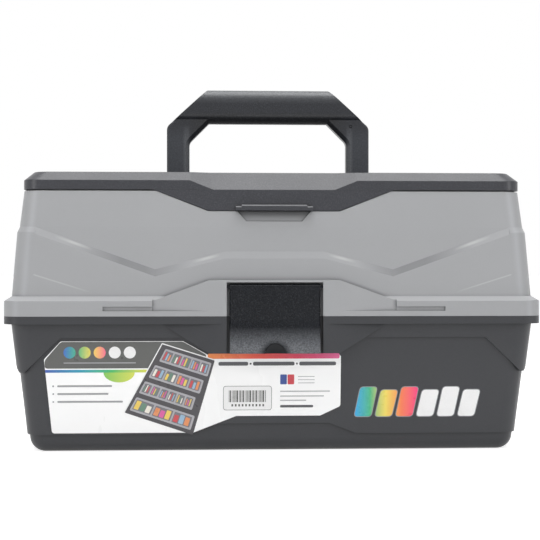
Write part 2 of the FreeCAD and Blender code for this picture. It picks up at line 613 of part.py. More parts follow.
def lid_shell():
    neck_half = lid_half(SHOULDER_Z, LID_PANEL_STEP + NECK_INSET)
    neck = case_block([(neck_half, SHOULDER_Z - TINY), (neck_half, SHOULDER_Z + NECK_HEIGHT)])
    neck = neck.cut(case_block([(neck_half - WALL, 0), (neck_half - WALL, OVERSIZE)],
                               CORNER_RADIUS - WALL))
    neck = neck.cut(facet_cutter(facet_lining() + SEAT_GAP))
    bin_wall = rounded_block((-BIN_HALF_LENGTH, BIN_HALF_LENGTH), (BIN_FRONT_Y, BIN_REAR_Y),
                             (SHOULDER_Z - TINY, CAP_UNDERSIDE_Z - SEAT_GAP), BIN_RADIUS)
    knuckles = []
    for side in (-1, 1):
        inner = knuckle_spans(side, HINGE_X, HINGE_KNUCKLE_LENGTH)[0]
        knuckles.append(hinge_knuckle(inner, True))
    body = lid_outside().cut(lid_inside())
    shape = fused([body, neck, bin_wall] + both_ends(link_boss) + knuckles)
    bin_inside = rounded_block((-BIN_HALF_LENGTH + BIN_WALL, BIN_HALF_LENGTH - BIN_WALL),
                               (BIN_FRONT_Y + BIN_WALL, BIN_REAR_Y - BIN_WALL),
                               (BIN_FLOOR_Z, OVERSIZE), BIN_RADIUS - BIN_WALL)
    recess = box((-HANDLE_RECESS_HALF_LENGTH, HANDLE_RECESS_HALF_LENGTH),
                 (HANDLE_RECESS_FRONT_Y, HANDLE_RECESS_REAR_Y), (HANDLE_FLOOR_Z, OVERSIZE))
    skin = prism_along_y(drop_outline(COVER_DROP_GAP), -OVERSIZE, 0)
    drop_bed = skin.common(box((-OVERSIZE, OVERSIZE), (-OVERSIZE, 0), (0, SHOULDER_Z + TINY)))
    drop_bed = drop_bed.cut(lid_skin_block(-COVER_DROP_WALL - COVER_DROP_GAP + CAP_PROUD))
    pocket = box((-POCKET_HALF_LENGTH, POCKET_HALF_LENGTH), (-OVERSIZE, POCKET_FLOOR_Y),
                 (0, LATCH_AXIS_Z + LATCH_BARREL_RADIUS + LATCH_SIDE_GAP / 2))
    cutters = [bin_inside, recess, drop_bed, pocket, scoop()]
    pin_x = POCKET_HALF_LENGTH + LATCH_SIDE_GAP
    cutters.append(rod(LATCH_PIN_RADIUS + FIXED_FIT, -pin_x, pin_x, LATCH_AXIS_Y, LATCH_AXIS_Z))
    for side in (-1, 1):
        low, high = knuckle_spans(side, HINGE_X, HINGE_KNUCKLE_LENGTH)[0]
        cutters.append(rod(HINGE_PIN_RADIUS + RUNNING_FIT, low - TINY, high + TINY, HINGE_Y, PARTING_Z))
    for cutter in cutters:
        shape = shape.cut(cutter)
    return shape


def scoop():
    """The hollow under the cover's finger tab, narrower towards its bottom."""
    bottom = COVER_DROP_Z - SCOOP_HEIGHT
    outline = [(-SCOOP_HALF_LENGTH, COVER_DROP_Z), (-SCOOP_HALF_LENGTH + SCOOP_SIDE_RUN, bottom),
               (SCOOP_HALF_LENGTH - SCOOP_SIDE_RUN, bottom), (SCOOP_HALF_LENGTH, COVER_DROP_Z)]
    block = prism_along_y(outline, -OVERSIZE, 0)
    return block.cut(lid_skin_block(-SCOOP_DEPTH))


# ---- covers ----
def cap_block(inset, bottom, top):
    """The chamfered cap that the cover and the deck are halves of."""
    half = lid_half(SHOULDER_Z, LID_PANEL_STEP - CAP_PROUD) - inset
    return case_block([(half, bottom), (half, CAP_CHAMFER_Z - inset / 2),
                       (half - CAP_CHAMFER_DEPTH, top)])


def facet_lining():
    """The cover's wall behind its middle facet, measured level instead of square to the facet."""
    return CAP_WALL * math.hypot(1, FACET_SLOPE)


def facet_cutter(setback):
    """The space in front of the cover's sloping middle facet and its two side facets."""
    front_y = -(lid_half(SHOULDER_Z, LID_PANEL_STEP - CAP_PROUD) - END_TO_FRONT)
    rise = CAP_CHAMFER_Z - FACET_BOTTOM_Z
    depth = (CAP_TOP_Z - FACET_BOTTOM_Z) * FACET_SLOPE
    middle = above_plane(Vector(0, front_y + setback, FACET_BOTTOM_Z), Vector(0, -1, FACET_SLOPE))
    space = middle
    for side in (-1, 1):
        low = Vector(side * FACET_HALF_LENGTH, front_y, FACET_BOTTOM_Z)
        high = Vector(side * (FACET_HALF_LENGTH + FACET_RISE_RUN), front_y, FACET_BOTTOM_Z + rise)
        top = Vector(side * (FACET_HALF_LENGTH + FACET_TOP_SPREAD), front_y + depth, CAP_TOP_Z)
        normal = (high - low).cross(top - low)
        if normal.z < 0:
            normal = -normal
        space = space.common(above_plane(low + Vector(0, setback, 0), normal))
    return space


def cap_shell():
    outer = cap_block(0.0, CAP_BOTTOM_Z, CAP_TOP_Z).cut(facet_cutter(0.0))
    inner = cap_block(CAP_WALL, CAP_BOTTOM_Z - TINY, CAP_UNDERSIDE_Z)
    return outer, inner.cut(facet_cutter(facet_lining()))


def cover_knuckle(span, rear):
    """One knuckle of the cover hinge, with a web that runs back to the deck if it is the deck's."""
    knuckle = rod(COVER_KNUCKLE_RADIUS, *span, COVER_AXIS_Y, COVER_AXIS_Z)
    if not rear:
        reach = (COVER_AXIS_Y - COVER_KNUCKLE_RADIUS, COVER_AXIS_Y + COVER_KNUCKLE_RADIUS)
        return fused([knuckle, box(span, reach, (COVER_AXIS_Z, CAP_UNDERSIDE_Z + TINY))])
    web = box(span, (COVER_AXIS_Y, DECK_FRONT_Y + CAP_WALL),
              (COVER_AXIS_Z - COVER_KNUCKLE_RADIUS, COVER_AXIS_Z + COVER_KNUCKLE_RADIUS))
    return fused([knuckle, web])


def quick_access_cover():
    outer, inner = cap_shell()
    keep = box((-OVERSIZE, OVERSIZE), (-OVERSIZE, COVER_AXIS_Y + COVER_REAR_OVERHANG), (0, OVERSIZE))
    shell = outer.cut(inner).common(keep)
    drop = lid_skin_block(CAP_PROUD).cut(lid_skin_block(CAP_PROUD - COVER_DROP_WALL))
    drop = drop.common(prism_along_y(drop_outline(0.0), -OVERSIZE, BIN_FRONT_Y))
    drop = drop.cut(facet_cutter(0.0))
    face_y = -(lid_half(COVER_DROP_Z, LID_PANEL_STEP - CAP_PROUD) - END_TO_FRONT)
    pieces, slots, holes = [shell, drop, finger_tab(face_y)], [], []
    clear = COVER_KNUCKLE_RADIUS + HINGE_KNUCKLE_GAP * 2
    for side in (-1, 1):
        own, decks = knuckle_spans(side, COVER_HINGE_X, COVER_KNUCKLE_LENGTH)
        pieces.append(cover_knuckle(own, False))
        slots.append(box((decks[0] - HINGE_KNUCKLE_GAP / 2, decks[1] + HINGE_KNUCKLE_GAP / 2),
                         (COVER_AXIS_Y - clear, OVERSIZE), (COVER_AXIS_Z - clear, OVERSIZE)))
        holes.append(rod(COVER_PIN_RADIUS + RUNNING_FIT, own[0] - TINY, own[1] + TINY,
                         COVER_AXIS_Y, COVER_AXIS_Z))
    return fused(pieces).cut(Part.makeCompound(slots)).cut(Part.makeCompound(holes))


def finger_tab(face_y):
    """The tab that lifts the cover, with a chamfered edge and a low lip along its front."""
    front, top = face_y - TAB_REACH, COVER_DROP_Z + TAB_HEIGHT
    back = face_y + CAP_WALL / 2
    side_view = [(front, COVER_DROP_Z), (back, COVER_DROP_Z), (back, top), (front + TAB_CHAMFER, top),
                 (front, top - TAB_CHAMFER)]
    lip_back, lip_top = front + TAB_LIP_THICKNESS, top + TAB_LIP_HEIGHT
    lip_view = [(front, top - TAB_CHAMFER), (lip_back, top - TAB_CHAMFER), (lip_back, lip_top),
                (front + TAB_CHAMFER, lip_top), (front, top)]
    lip_half = TAB_HALF_LENGTH - TAB_LIP_INSET
    return prism_along_x(side_view, -TAB_HALF_LENGTH, TAB_HALF_LENGTH).fuse(
        prism_along_x(lip_view, -lip_half, lip_half))


def lid_top_deck():
    outer, inner = cap_shell()
    keep = box((-OVERSIZE, OVERSIZE), (DECK_FRONT_Y, OVERSIZE), (0, OVERSIZE))
    shell = outer.cut(inner).common(keep)
    recess = (HANDLE_RECESS_HALF_LENGTH, HANDLE_RECESS_REAR_Y)
    walls = box((-recess[0] - CAP_WALL, recess[0] + CAP_WALL),
                (DECK_FRONT_Y, recess[1] + CAP_WALL), (SHOULDER_Z, CAP_UNDERSIDE_Z + TINY))
    strips = []
    for side in (-1, 1):
        near, far = side * recess[0], side * (BIN_HALF_LENGTH - BIN_RADIUS)
        strips.append(box((min(near, far), max(near, far)), (DECK_FRONT_Y, DECK_FRONT_Y + CAP_WALL),
                          (SHOULDER_Z, CAP_UNDERSIDE_Z + TINY)))
    pieces, holes = [shell, walls.common(outer.fuse(inner))] + strips, []
    for side in (-1, 1):
        decks = knuckle_spans(side, COVER_HINGE_X, COVER_KNUCKLE_LENGTH)[1]
        pieces.append(cover_knuckle(decks, True))
        holes.append(rod(COVER_PIN_RADIUS + FIXED_FIT, decks[0] - TINY, decks[1] + TINY,
                         COVER_AXIS_Y, COVER_AXIS_Z))
    opening = box((-recess[0], recess[0]), (-OVERSIZE, recess[1]), (0, OVERSIZE))
    shape = fused(pieces).cut(opening).cut(Part.makeCompound(holes))
    eye_x = HANDLE_HALF_LENGTH - HANDLE_LEG_WIDTH
    return fused([shape] + [rod(HANDLE_PIN_RADIUS, side * eye_x, side * (recess[0] + TINY),
                                HANDLE_AXIS_Y, HANDLE_AXIS_Z) for side in (-1, 1)])


# ---- handle and latch ----
def carry_handle():
    """A thick rounded grip between two flatter legs with pivot eyes."""
    slant_run = HANDLE_HALF_LENGTH - HANDLE_TOP_HALF_LENGTH
    grip_bottom = HANDLE_TOP_Z - HANDLE_GRIP_HEIGHT
    half_depth = HANDLE_DEPTH / 2
    grip = rounded_grip(grip_bottom, half_depth)
    foot_half = HANDLE_TOP_HALF_LENGTH + slant_run * HANDLE_GRIP_HEIGHT / HANDLE_SHOULDER_DROP
    ends = [(-foot_half, grip_bottom), (foot_half, grip_bottom),
            (HANDLE_TOP_HALF_LENGTH, HANDLE_TOP_Z), (-HANDLE_TOP_HALF_LENGTH, HANDLE_TOP_Z)]
    grip = grip.common(prism_along_y(ends, HANDLE_AXIS_Y - OVERSIZE, HANDLE_AXIS_Y + OVERSIZE))
    return fused([grip] + both_ends(handle_leg)).cut(Part.makeCompound(both_ends(handle_eye)))


def rounded_grip(bottom, half_depth):
    """The grip's section, drawn out over the whole handle before its ends are trimmed."""
    block = box((-HANDLE_HALF_LENGTH, HANDLE_HALF_LENGTH),
                (HANDLE_AXIS_Y - half_depth, HANDLE_AXIS_Y + half_depth), (bottom, HANDLE_TOP_Z))
    long_edges = [edge for edge in block.Edges if edge.BoundBox.XLength > HANDLE_HALF_LENGTH]
    return block.makeFillet(HANDLE_GRIP_ROUNDING, long_edges)


def handle_leg(side):
    """One leg, from its eye up into the middle of the grip."""
    inner_x = HANDLE_HALF_LENGTH - HANDLE_LEG_WIDTH
    grip_bottom = HANDLE_TOP_Z - HANDLE_GRIP_HEIGHT
    root_z = grip_bottom + HANDLE_GRIP_HEIGHT / 2
    slant = (HANDLE_HALF_LENGTH - HANDLE_TOP_HALF_LENGTH) / HANDLE_SHOULDER_DROP
    inner_corner_z = grip_bottom - HANDLE_INNER_CORNER
    outline = [(inner_x, HANDLE_AXIS_Z), (inner_x, inner_corner_z),
               (inner_x - (root_z - inner_corner_z), root_z),
               (HANDLE_HALF_LENGTH - (root_z - HANDLE_SHOULDER_Z) * slant, root_z),
               (HANDLE_HALF_LENGTH, HANDLE_SHOULDER_Z), (HANDLE_HALF_LENGTH, HANDLE_AXIS_Z)]
    half = HANDLE_LEG_DEPTH / 2
    leg = prism_along_y([(side * x, z) for x, z in outline], HANDLE_AXIS_Y - half,
                        HANDLE_AXIS_Y + half)
    corners = [edge for edge in leg.Edges if edge.BoundBox.YLength > half
               and HANDLE_AXIS_Z + TINY < edge.BoundBox.ZMin < root_z - TINY]
    leg = leg.makeFillet(HANDLE_CORNER_RADIUS, corners)
    for reach, chamfer in ((1, HANDLE_OUTER_CHAMFER), (-1, HANDLE_INNER_CHAMFER)):
        middle_x = side * (HANDLE_HALF_LENGTH - HANDLE_LEG_WIDTH / 2)
        edges = [edge for edge in leg.Edges if edge.BoundBox.YLength < TINY
                 and edge.BoundBox.XLength < TINY and edge.BoundBox.ZLength > HANDLE_LEG_WIDTH
                 and side * reach * (edge.BoundBox.Center.x - middle_x) > TINY]
        leg = leg.makeChamfer(chamfer, edges)
    eye = rod(half, side * inner_x, side * HANDLE_HALF_LENGTH, HANDLE_AXIS_Y, HANDLE_AXIS_Z)
    return fused([leg, eye])


def handle_eye(side):
    inner_x = HANDLE_HALF_LENGTH - HANDLE_LEG_WIDTH
    return rod(HANDLE_PIN_RADIUS + RUNNING_FIT, side * (inner_x - TINY),
               side * (HANDLE_HALF_LENGTH + TINY), HANDLE_AXIS_Y, HANDLE_AXIS_Z)


def front_latch():
    front, back = LATCH_FRONT_Y, LATCH_FRONT_Y + LATCH_THICKNESS
    bend_z = PARTING_Z - LATCH_FLARE_START_DROP
    outline = [(front, LATCH_AXIS_Z), (front, bend_z), (front - LATCH_FLARE, LATCH_BOTTOM_Z),
               (front - LATCH_FLARE + LATCH_THICKNESS, LATCH_BOTTOM_Z), (back, bend_z),
               (back, LATCH_AXIS_Z)]
    plate = prism_along_x(outline, -LATCH_HALF_LENGTH, LATCH_HALF_LENGTH)
    bends = [edge for edge in plate.Edges if edge.BoundBox.XLength > LATCH_HALF_LENGTH
             and abs(edge.BoundBox.Center.z - bend_z) < TINY]
    plate = plate.makeFillet(LATCH_BEND_RADIUS, bends)
    sides = [edge for edge in plate.Edges if edge.BoundBox.XLength < TINY
             and edge.BoundBox.ZLength > TINY and edge.BoundBox.YMin < front + TINY
             and edge.BoundBox.Center.y < front + LATCH_THICKNESS / 2]
    plate = plate.makeChamfer(LATCH_EDGE_CHAMFER, sides)
    barrel = rod(LATCH_BARREL_RADIUS, -LATCH_HALF_LENGTH, LATCH_HALF_LENGTH,
                 LATCH_AXIS_Y, LATCH_AXIS_Z)
    hook_top = PARTING_Z - CATCH_DROP - SEAT_GAP
    hook_half = LATCH_HALF_LENGTH / 2
    hook = box((-hook_half, hook_half),
               (front + LATCH_THICKNESS / 2 - LATCH_FLARE / 2, POCKET_FLOOR_Y - CATCH_REACH - SEAT_GAP),
               (hook_top - CATCH_HEIGHT, hook_top))
    notch = Part.makeCylinder(LATCH_NOTCH_RADIUS, LATCH_NOTCH_DEPTH + LATCH_FLARE,
                              Vector(0, front - LATCH_FLARE, LATCH_BOTTOM_Z), Vector(0, 1, 0))
    shape = fused([plate, barrel, hook]).cut(notch)
    reach = LATCH_HALF_LENGTH + TINY
    return shape.cut(rod(LATCH_PIN_RADIUS + RUNNING_FIT, -reach, reach, LATCH_AXIS_Y, LATCH_AXIS_Z))


# ---- trays and arms ----
def tray_z(level):
    low = TRAY_LOWEST_Z + (level - 1) * TRAY_PITCH
    return low, low + TRAY_HEIGHT


def tray_row_ranges(name):
    """The depth range of each row of cells, from the front."""
    low = TRAY_FRONT_Y + TRAY_WALL
    high = TRAY_REAR_Y - TRAY_WALL
    rows = ROW_COUNTS[name]
    depth = (high - low - (rows - 1) * TRAY_WALL) / rows
    return [(low + k * (depth + TRAY_WALL), low + k * (depth + TRAY_WALL) + depth)
            for k in range(rows)]


def divider_centres(name):
    cells = CELL_COUNTS[name]
    pitch = 2 * (TRAY_HALF_LENGTH - TRAY_WALL) / cells
    return [-TRAY_HALF_LENGTH + TRAY_WALL + k * pitch for k in range(1, cells)]


def tray_shell(name, level):
    low_z, high_z = tray_z(level)
    shape = rounded_block((-TRAY_HALF_LENGTH, TRAY_HALF_LENGTH), (TRAY_FRONT_Y, TRAY_REAR_Y),
                          (low_z, high_z), TRAY_RADIUS)
    inner_x = TRAY_HALF_LENGTH - TRAY_WALL
    half_slot = DIVIDER_THICKNESS / 2 + DIVIDER_FIT
    for low_y, high_y in tray_row_ranges(name):
        shape = shape.cut(rounded_block((-inner_x, inner_x), (low_y, high_y),
                                        (low_z + TRAY_FLOOR, OVERSIZE), TRAY_RADIUS - TRAY_WALL))
        for x in divider_centres(name):
            shape = shape.cut(box((x - half_slot, x + half_slot),
                                  (low_y - DIVIDER_GROOVE, high_y + DIVIDER_GROOVE),
                                  (low_z + TRAY_FLOOR, OVERSIZE)))
    pins = []
    for side in (-1, 1):
        for y, z in tray_pin_points(level):
            pins.append(cross_pin(side * (TRAY_HALF_LENGTH - TINY), side * ARM_OUTER_X, y, z))
        if level == len(TRAY_LEVELS):
            shape = shape.cut(rod(PIN_RADIUS + LINK_PIN_CLEARANCE, side * (inner_x - TINY),
                                  side * (TRAY_HALF_LENGTH + TINY), LINK_Y, LINK_Z))
    return fused([shape] + pins)


def tray_pin_points(level):
    return [arm_point(pivot_y, level) for pivot_y in (FRONT_ARM_Y, REAR_ARM_Y)]


def tray_dividers(name, level):
    low_z, high_z = tray_z(level)
    seat = DIVIDER_GROOVE - DIVIDER_FIT
    plates = []
    for low_y, high_y in tray_row_ranges(name):
        for x in divider_centres(name):
            plates.append(box((x - DIVIDER_THICKNESS / 2, x + DIVIDER_THICKNESS / 2),
                              (low_y - seat, high_y + seat),
                              (low_z + TRAY_FLOOR, high_z - DIVIDER_TOP_DROP)))
    return Part.makeCompound(plates)


def arm(side, pivot_y):
    """One flat arm, from its pivot on the base to the pin of the upper tray."""
    low, high = min(side * ARM_INNER_X, side * ARM_OUTER_X), max(side * ARM_INNER_X, side * ARM_OUTER_X)
    levels = range(len(TRAY_LEVELS) + 1)
    points = [arm_point(pivot_y, level) for level in levels]
    (y0, z0), (y1, z1) = points[0], points[-1]
    angle = math.radians(ARM_ANGLE)
    across = (math.sin(angle) * ARM_WIDTH / 2, math.cos(angle) * ARM_WIDTH / 2)
    strip = prism_along_x([(y0 + across[0], z0 + across[1]), (y0 - across[0], z0 - across[1]),
                           (y1 - across[0], z1 - across[1]), (y1 + across[0], z1 + across[1])],
                          low, high)
    ends = [rod(ARM_WIDTH / 2, low, high, *point) for point in (points[0], points[-1])]
    shape = fused([strip] + ends)
    for point in points:
        shape = shape.cut(rod(PIN_RADIUS + RUNNING_FIT, low - TINY, high + TINY, *point))
    return shape


# ---- pins and label ----
def lid_hinge_pin(side):
    half = HINGE_KNUCKLE_LENGTH + HINGE_KNUCKLE_GAP / 2
    return rod(HINGE_PIN_RADIUS, side * HINGE_X - half, side * HINGE_X + half, HINGE_Y, PARTING_Z)


def cover_hinge_pin(side):
    half = COVER_KNUCKLE_LENGTH + HINGE_KNUCKLE_GAP / 2
    return rod(COVER_PIN_RADIUS, side * COVER_HINGE_X - half, side * COVER_HINGE_X + half,
               COVER_AXIS_Y, COVER_AXIS_Z)


def latch_hinge_pin():
    half = POCKET_HALF_LENGTH + LATCH_SIDE_GAP - TINY
    return rod(LATCH_PIN_RADIUS, -half, half, LATCH_AXIS_Y, LATCH_AXIS_Z)


def front_label():
    """A thin sticker on the sloping front panel, left of the middle."""
    end_x = base_half(COLLAR_CORNER_Z, LABEL_END_INSET)
    bottom, top = SKID_HEIGHT + LABEL_GAP, COLLAR_CREASE_Z - LABEL_TOP_GAP
    under_housing = PARTING_Z - HOUSING_BOTTOM_DROP - LABEL_GAP
    middle_x = HOUSING_HALF_LENGTH + LABEL_GAP
    over_skid = SKID_HEIGHT + SKID_CENTRE_RISE + LABEL_SKID_GAP
    slant_foot, slant_head = LABEL_SLANT_X
    outline = [(-end_x + LABEL_END_LEAN, bottom), (-end_x, top - LABEL_CORNER_DROP),
               (-end_x + LABEL_CORNER_RUN, top), (-middle_x - LABEL_HOUSING_RUN, top),
               (-middle_x, under_housing), (middle_x, under_housing),
               (middle_x, over_skid + LABEL_RIGHT_SHELF), (middle_x - LABEL_RIGHT_RUN, over_skid),
               (slant_head, over_skid), (slant_foot, bottom)]
    sticker = case_block([(base_half(0, COLLAR_STEP - LABEL_THICKNESS), 0),
                          (base_half(BASE_RIM_Z, COLLAR_STEP - LABEL_THICKNESS), BASE_RIM_Z)])
    panel = case_block([(base_half(0, COLLAR_STEP), 0),
                        (base_half(BASE_RIM_Z, COLLAR_STEP), BASE_RIM_Z)])
    block = prism_along_y(outline, -OVERSIZE, 0)
    corners = [edge for edge in block.Edges if edge.BoundBox.YLength > TINY and edge.BoundBox.XLength < TINY]
    return block.makeFillet(LABEL_CORNER_RADIUS, corners).common(sticker).cut(panel)


def nodes():
    """Every piece of the case by name."""
    made = {
        "base_shell": base_shell(),
        "lid_shell": lid_shell(),
        "lid_top_deck": lid_top_deck(),
        "quick_access_cover": quick_access_cover(),
        "carry_handle": carry_handle(),
        "front_latch": front_latch(),
        "latch_hinge_pin": latch_hinge_pin(),
        "front_label": front_label(),
    }
    for side, word in ((-1, "left"), (1, "right")):
        made[f"lid_hinge_pin_{word}"] = lid_hinge_pin(side)
        made[f"cover_hinge_pin_{word}"] = cover_hinge_pin(side)
        made[f"front_arm_{word}"] = arm(side, FRONT_ARM_Y)
        made[f"rear_arm_{word}"] = arm(side, REAR_ARM_Y)
    for level, name in enumerate(TRAY_LEVELS, start=1):
        made[f"tray_{name}"] = tray_shell(name, level)
        made[f"dividers_{name}"] = tray_dividers(name, level)
    return made


def main():
    os.makedirs("parts", exist_ok=True)
    for name, shape in nodes().items():
        solids = shape.Solids
        print(f"{name:24s} solids {len(solids)} valid {shape.isValid()} "
              f"volume {sum(solid.Volume for solid in solids) / 1000:9.2f} cm3")
        piece = solids[0] if len(solids) == 1 else Part.makeCompound(solids)
        piece.exportStep(f"parts/{name}.step")


main()
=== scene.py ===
"""Looks of a cantilever tray case: moulded plastics, steel, a printed label and a plain studio."""

import json
import math

import bmesh
import bpy
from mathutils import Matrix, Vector


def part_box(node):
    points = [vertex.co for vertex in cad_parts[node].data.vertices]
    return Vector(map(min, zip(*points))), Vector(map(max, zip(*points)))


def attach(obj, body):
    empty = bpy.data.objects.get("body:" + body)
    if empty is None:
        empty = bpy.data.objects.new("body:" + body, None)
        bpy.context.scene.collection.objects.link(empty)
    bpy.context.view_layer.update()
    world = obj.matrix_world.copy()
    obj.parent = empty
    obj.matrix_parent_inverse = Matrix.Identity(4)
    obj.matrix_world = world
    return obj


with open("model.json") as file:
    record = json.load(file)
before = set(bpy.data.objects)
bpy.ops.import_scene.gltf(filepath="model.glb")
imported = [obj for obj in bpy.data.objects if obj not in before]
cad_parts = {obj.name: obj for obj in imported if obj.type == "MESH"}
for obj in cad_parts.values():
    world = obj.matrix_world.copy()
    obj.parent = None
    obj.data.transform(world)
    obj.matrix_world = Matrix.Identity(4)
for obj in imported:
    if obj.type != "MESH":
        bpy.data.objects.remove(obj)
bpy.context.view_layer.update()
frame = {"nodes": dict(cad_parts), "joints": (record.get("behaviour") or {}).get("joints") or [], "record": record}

# Sizes and places are in millimetres, unless their comment says otherwise.
MM = 0.001

# ---- from the frame ----
PIVOTS = {joint["name"]: Vector(joint["pos_m"]) / MM for joint in frame["joints"]}
ARM_OUTER_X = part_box("front_arm_right")[1][0] / MM
GRIP_TOP_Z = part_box("carry_handle")[1][2] / MM
LATCH_FOOT_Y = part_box("front_latch")[0][1] / MM
LATCH_FOOT_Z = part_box("front_latch")[0][2] / MM

# ---- the base's front panel, and what is stuck on it ----
PANEL_HEAD_Y = -110.5  # at the height below, under the rim
PANEL_HEAD_Z = 108.5
PANEL_LEAN = math.tan(math.radians(6.0))
LABEL_THICKNESS = 0.4
STICKER_THICKNESS = 0.15
PRINT_THICKNESS = 0.06

# ---- the latch's flare, and the thumb hollow in its foot ----
LATCH_BEND_Z = 109.0
LATCH_FLARE_SLOPE = 4.2 / 25.0
# the painted highlight down the latch's flare: where it starts, and where it is whole
LATCH_HIGHLIGHT_FROM_Z = LATCH_BEND_Z - 3.0
LATCH_HIGHLIGHT_FULL_Z = LATCH_FOOT_Z + 5.0
HOLLOW_RADIUS = 8.65
HOLLOW_DEPTH = 2.4
HOLLOW_BACK_DEPTH = 3.5
HOLLOW_SETBACK = 0.06
HOLLOW_SILL_RISE = 0.05
# where the latch's painted highlight is kept off round the thumb hollow: none inside, all of it outside
HOLLOW_DARK_HALF_WIDTH = 13.0
HOLLOW_DARK_RISE = 11.0
HOLLOW_DARK_REACH = (0.65, 1.1)  # shares of that half ellipse: still dark, and pale

# ---- the handle's painted light and shade: depths below the grip's top, and distances from the middle ----
GRIP_LIGHT_DEPTHS = (13.0, 1.5)
GRIP_SHADOW_DEPTHS = (19.0, 27.0)
GRIP_SHADOW_X = (74.0, 58.0)
LEG_DEPTHS = (32.0, 46.0)
LEG_X = (68.0, 74.0)
LEG_EDGE_X = (71.0, 73.0, 75.5, 78.0)
HANDLE_FRONT_Y = -9.0
MOULD_MARK_X = 75.7
MOULD_MARK_Z = 285.0

# ---- the upper edge of the lid's crease: its level middle's end, its valley and its own end ----
CREASE_FLAT_X = 41.6
CREASE_FLAT_Z = 169.0
CREASE_VALLEY_X = 100.0
CREASE_VALLEY_Z = 154.0
CREASE_END_X = 200.0
CREASE_END_Z = 189.5
CREASE_TILTS = (0.2, 0.3)  # the normal's rise where a slope begins to count, and counts whole
CREASE_FROM_HEIGHTS = (140.0, 143.0)  # the rim, further down, slopes too
CREASE_SHADE_X = (70.0, 108.0, 128.0, 172.0)
GLINTS_X = ((57.0, 12.0), (168.0, 16.0))  # the middle and half length of each glint
GLINT_CORE = 2.0
GLINT_DEPTH = 1.8  # below the crease's upper edge
GLINT_HALF_WIDTHS = (1.6, 0.5)

# ---- a painted highlight along a faint scored line beside the lid's front corners, and a painted sheen on the corners ----
SCORE_X = (152.0, 200.0)
SCORE_Z = (134.5, 149.5)
SCORE_FADE_X = (SCORE_X[0], SCORE_X[0] + 20.0, SCORE_X[1], SCORE_X[1] + 1.0)
SCORE_HALF_WIDTHS = (0.8, 0.2)
CORNER_TURNS = (0.08, 0.26, 0.3, 0.5)  # how far the normal has turned sideways

# ---- the finger scoop in the lid, under the cover's tab ----
SCOOP_TOP_Z = 203.6
SCOOP_HEIGHT = 9.0
SCOOP_HALF_LENGTH = 31.6
SCOOP_SIDE_RUN = 8.0
SCOOP_EDGE_SOFTNESS = 0.3
SCOOP_END_LENGTH = 5.0  # of the shade beside each end
SCOOP_END_SHADE = 0.85
SCOOP_TAB_SHADE = 0.6
# how far down the scoop, as shares of its height, each shade ends and is whole
SCOOP_FOOT_SHARES = (1.0, 0.97)
SCOOP_END_SHARES = (0.9, 0.3)
SCOOP_TAB_SHARES = (0.95, 0.35)

# ---- screws under the lid's ceiling, and caps on the trays' pins ----
CEILING_Z = 217.4
SCREW_PLACES = [(x, y) for x in (-180, -130, 130, 180) for y in (20, 75)]
SCREW_CROSS_HALF_WIDTH = 0.5
SCREW_CROSS_LENGTH = 1.8
PIN_CAP_GAP = 0.003

# ---- the label's header, as x and z on the panel ----
HEADER = [(-191.6, 71.2), (-191.8, 78.1), (-178.2, 93.6), (-76.7, 93.6), (-57.2, 82.5),
          (-57.2, 79.4), (-100.0, 71.2)]
HEADER_RADIUS = 2.2
COOL_BAND = ((-191.3, -101.0), (67.8, 70.2))
TAB_X = -130.0
TAB_Z = 67.8
TAB_HALF_WIDTH = 13.0
TAB_DROP = 8.4
DISC_FIRST_X = -171.0
DISC_PITCH = 12.5
DISC_Z = 84.6
DISC_RADIUS = 5.0
DISC_COUNT = 5
COLOURED_DISCS = 3
CURVE_STEPS = 28  # in a whole turn
HEADER_RULE = ((-176.0, -116.0), (75.4, 76.4))
WARM_BAND = ((-56.0, 55.0), (79.0, 83.4))
WARM_BAND_RADIUS = 1.6

# ---- the label's rows of bars ----
ITEM_DOT_X = (-185.6, -184.2)
ITEM_DOT_HALF_HEIGHT = 0.7
ITEM_DOT_RADIUS = 0.6
ITEM_START_X = -181.5
ITEM_ENDS_X = (-136.0, -139.0, -127.0)
ITEM_HALF_HEIGHT = 0.8
ITEM_RADIUS = 0.7
ITEM_TOP_Z = 56.4
ITEM_PITCH = 6.6
TITLE_BARS_X = ((-47.0, -22.0), (-18.0, 17.0), (21.0, 52.0))
TITLE_BAR_Z = (73.2, 76.4)
TITLE_BAR_RADIUS = 1.4
TITLE_DOTS_X = (-20.0, 19.0)
TITLE_DOT_Z = 74.8
TITLE_DOT_HALF_SIZE = 0.8
TITLE_DOT_RADIUS = 0.7
LINE_START_X = 5.0
LINE_ENDS = ((51.3, 47.0), (47.2, 42.0), (43.6, 27.0))  # each line's height, and where it ends
LINE_HALF_HEIGHT = 0.4
LAST_LINE = ((5.0, 33.0), (37.5, 39.6))
LAST_LINE_RADIUS = 0.9

# ---- the label's block of stripes and its colour fields ----
STRIPE_FRAME_X = (-43.0, -2.0)
STRIPE_FRAME_Z = (35.4, 56.0)
STRIPE_FRAME_RADIUS = 2.5
STRIPE_FRAME_WIDTH = 0.4
STRIPE_GROUND_RADIUS = 2.2
STRIPES_X = (-38.2, -7.5)
STRIPES_Z = (42.2, 52.2)
STRIPE_WIDTHS = (0.5, 1.1, 0.5, 0.8, 0.5, 1.4, 0.5, 0.8)
STRIPE_GAP_SHARE = 0.8
SQUARES_X = -36.0
SQUARES_Z = (38.6, 40.6)
SQUARE_WIDTH = 1.4
SQUARE_PITCH = 2.9
SQUARE_COUNT = 10
FIELDS_X = ((5.0, 10.6), (11.2, 16.8))
FIELDS_Z = (57.2, 65.6)
FIELD_RADIUS = 0.8
FIELD_LINES_X = (20.0, 34.0)
FIELD_LINES_Z = (63.5, 64.0)
FIELD_LINE_PITCH = 2.7

# ---- the drawing of trays on the label ----
DRAWING_HEAD_LEFT = Vector((-94.0, 92.0))
DRAWING_HEAD_RIGHT = Vector((-50.0, 78.0))
DRAWING_FOOT_RIGHT = Vector((-68.5, 14.5))
DRAWING_FOOT_LEFT = Vector((-126.0, 34.0))
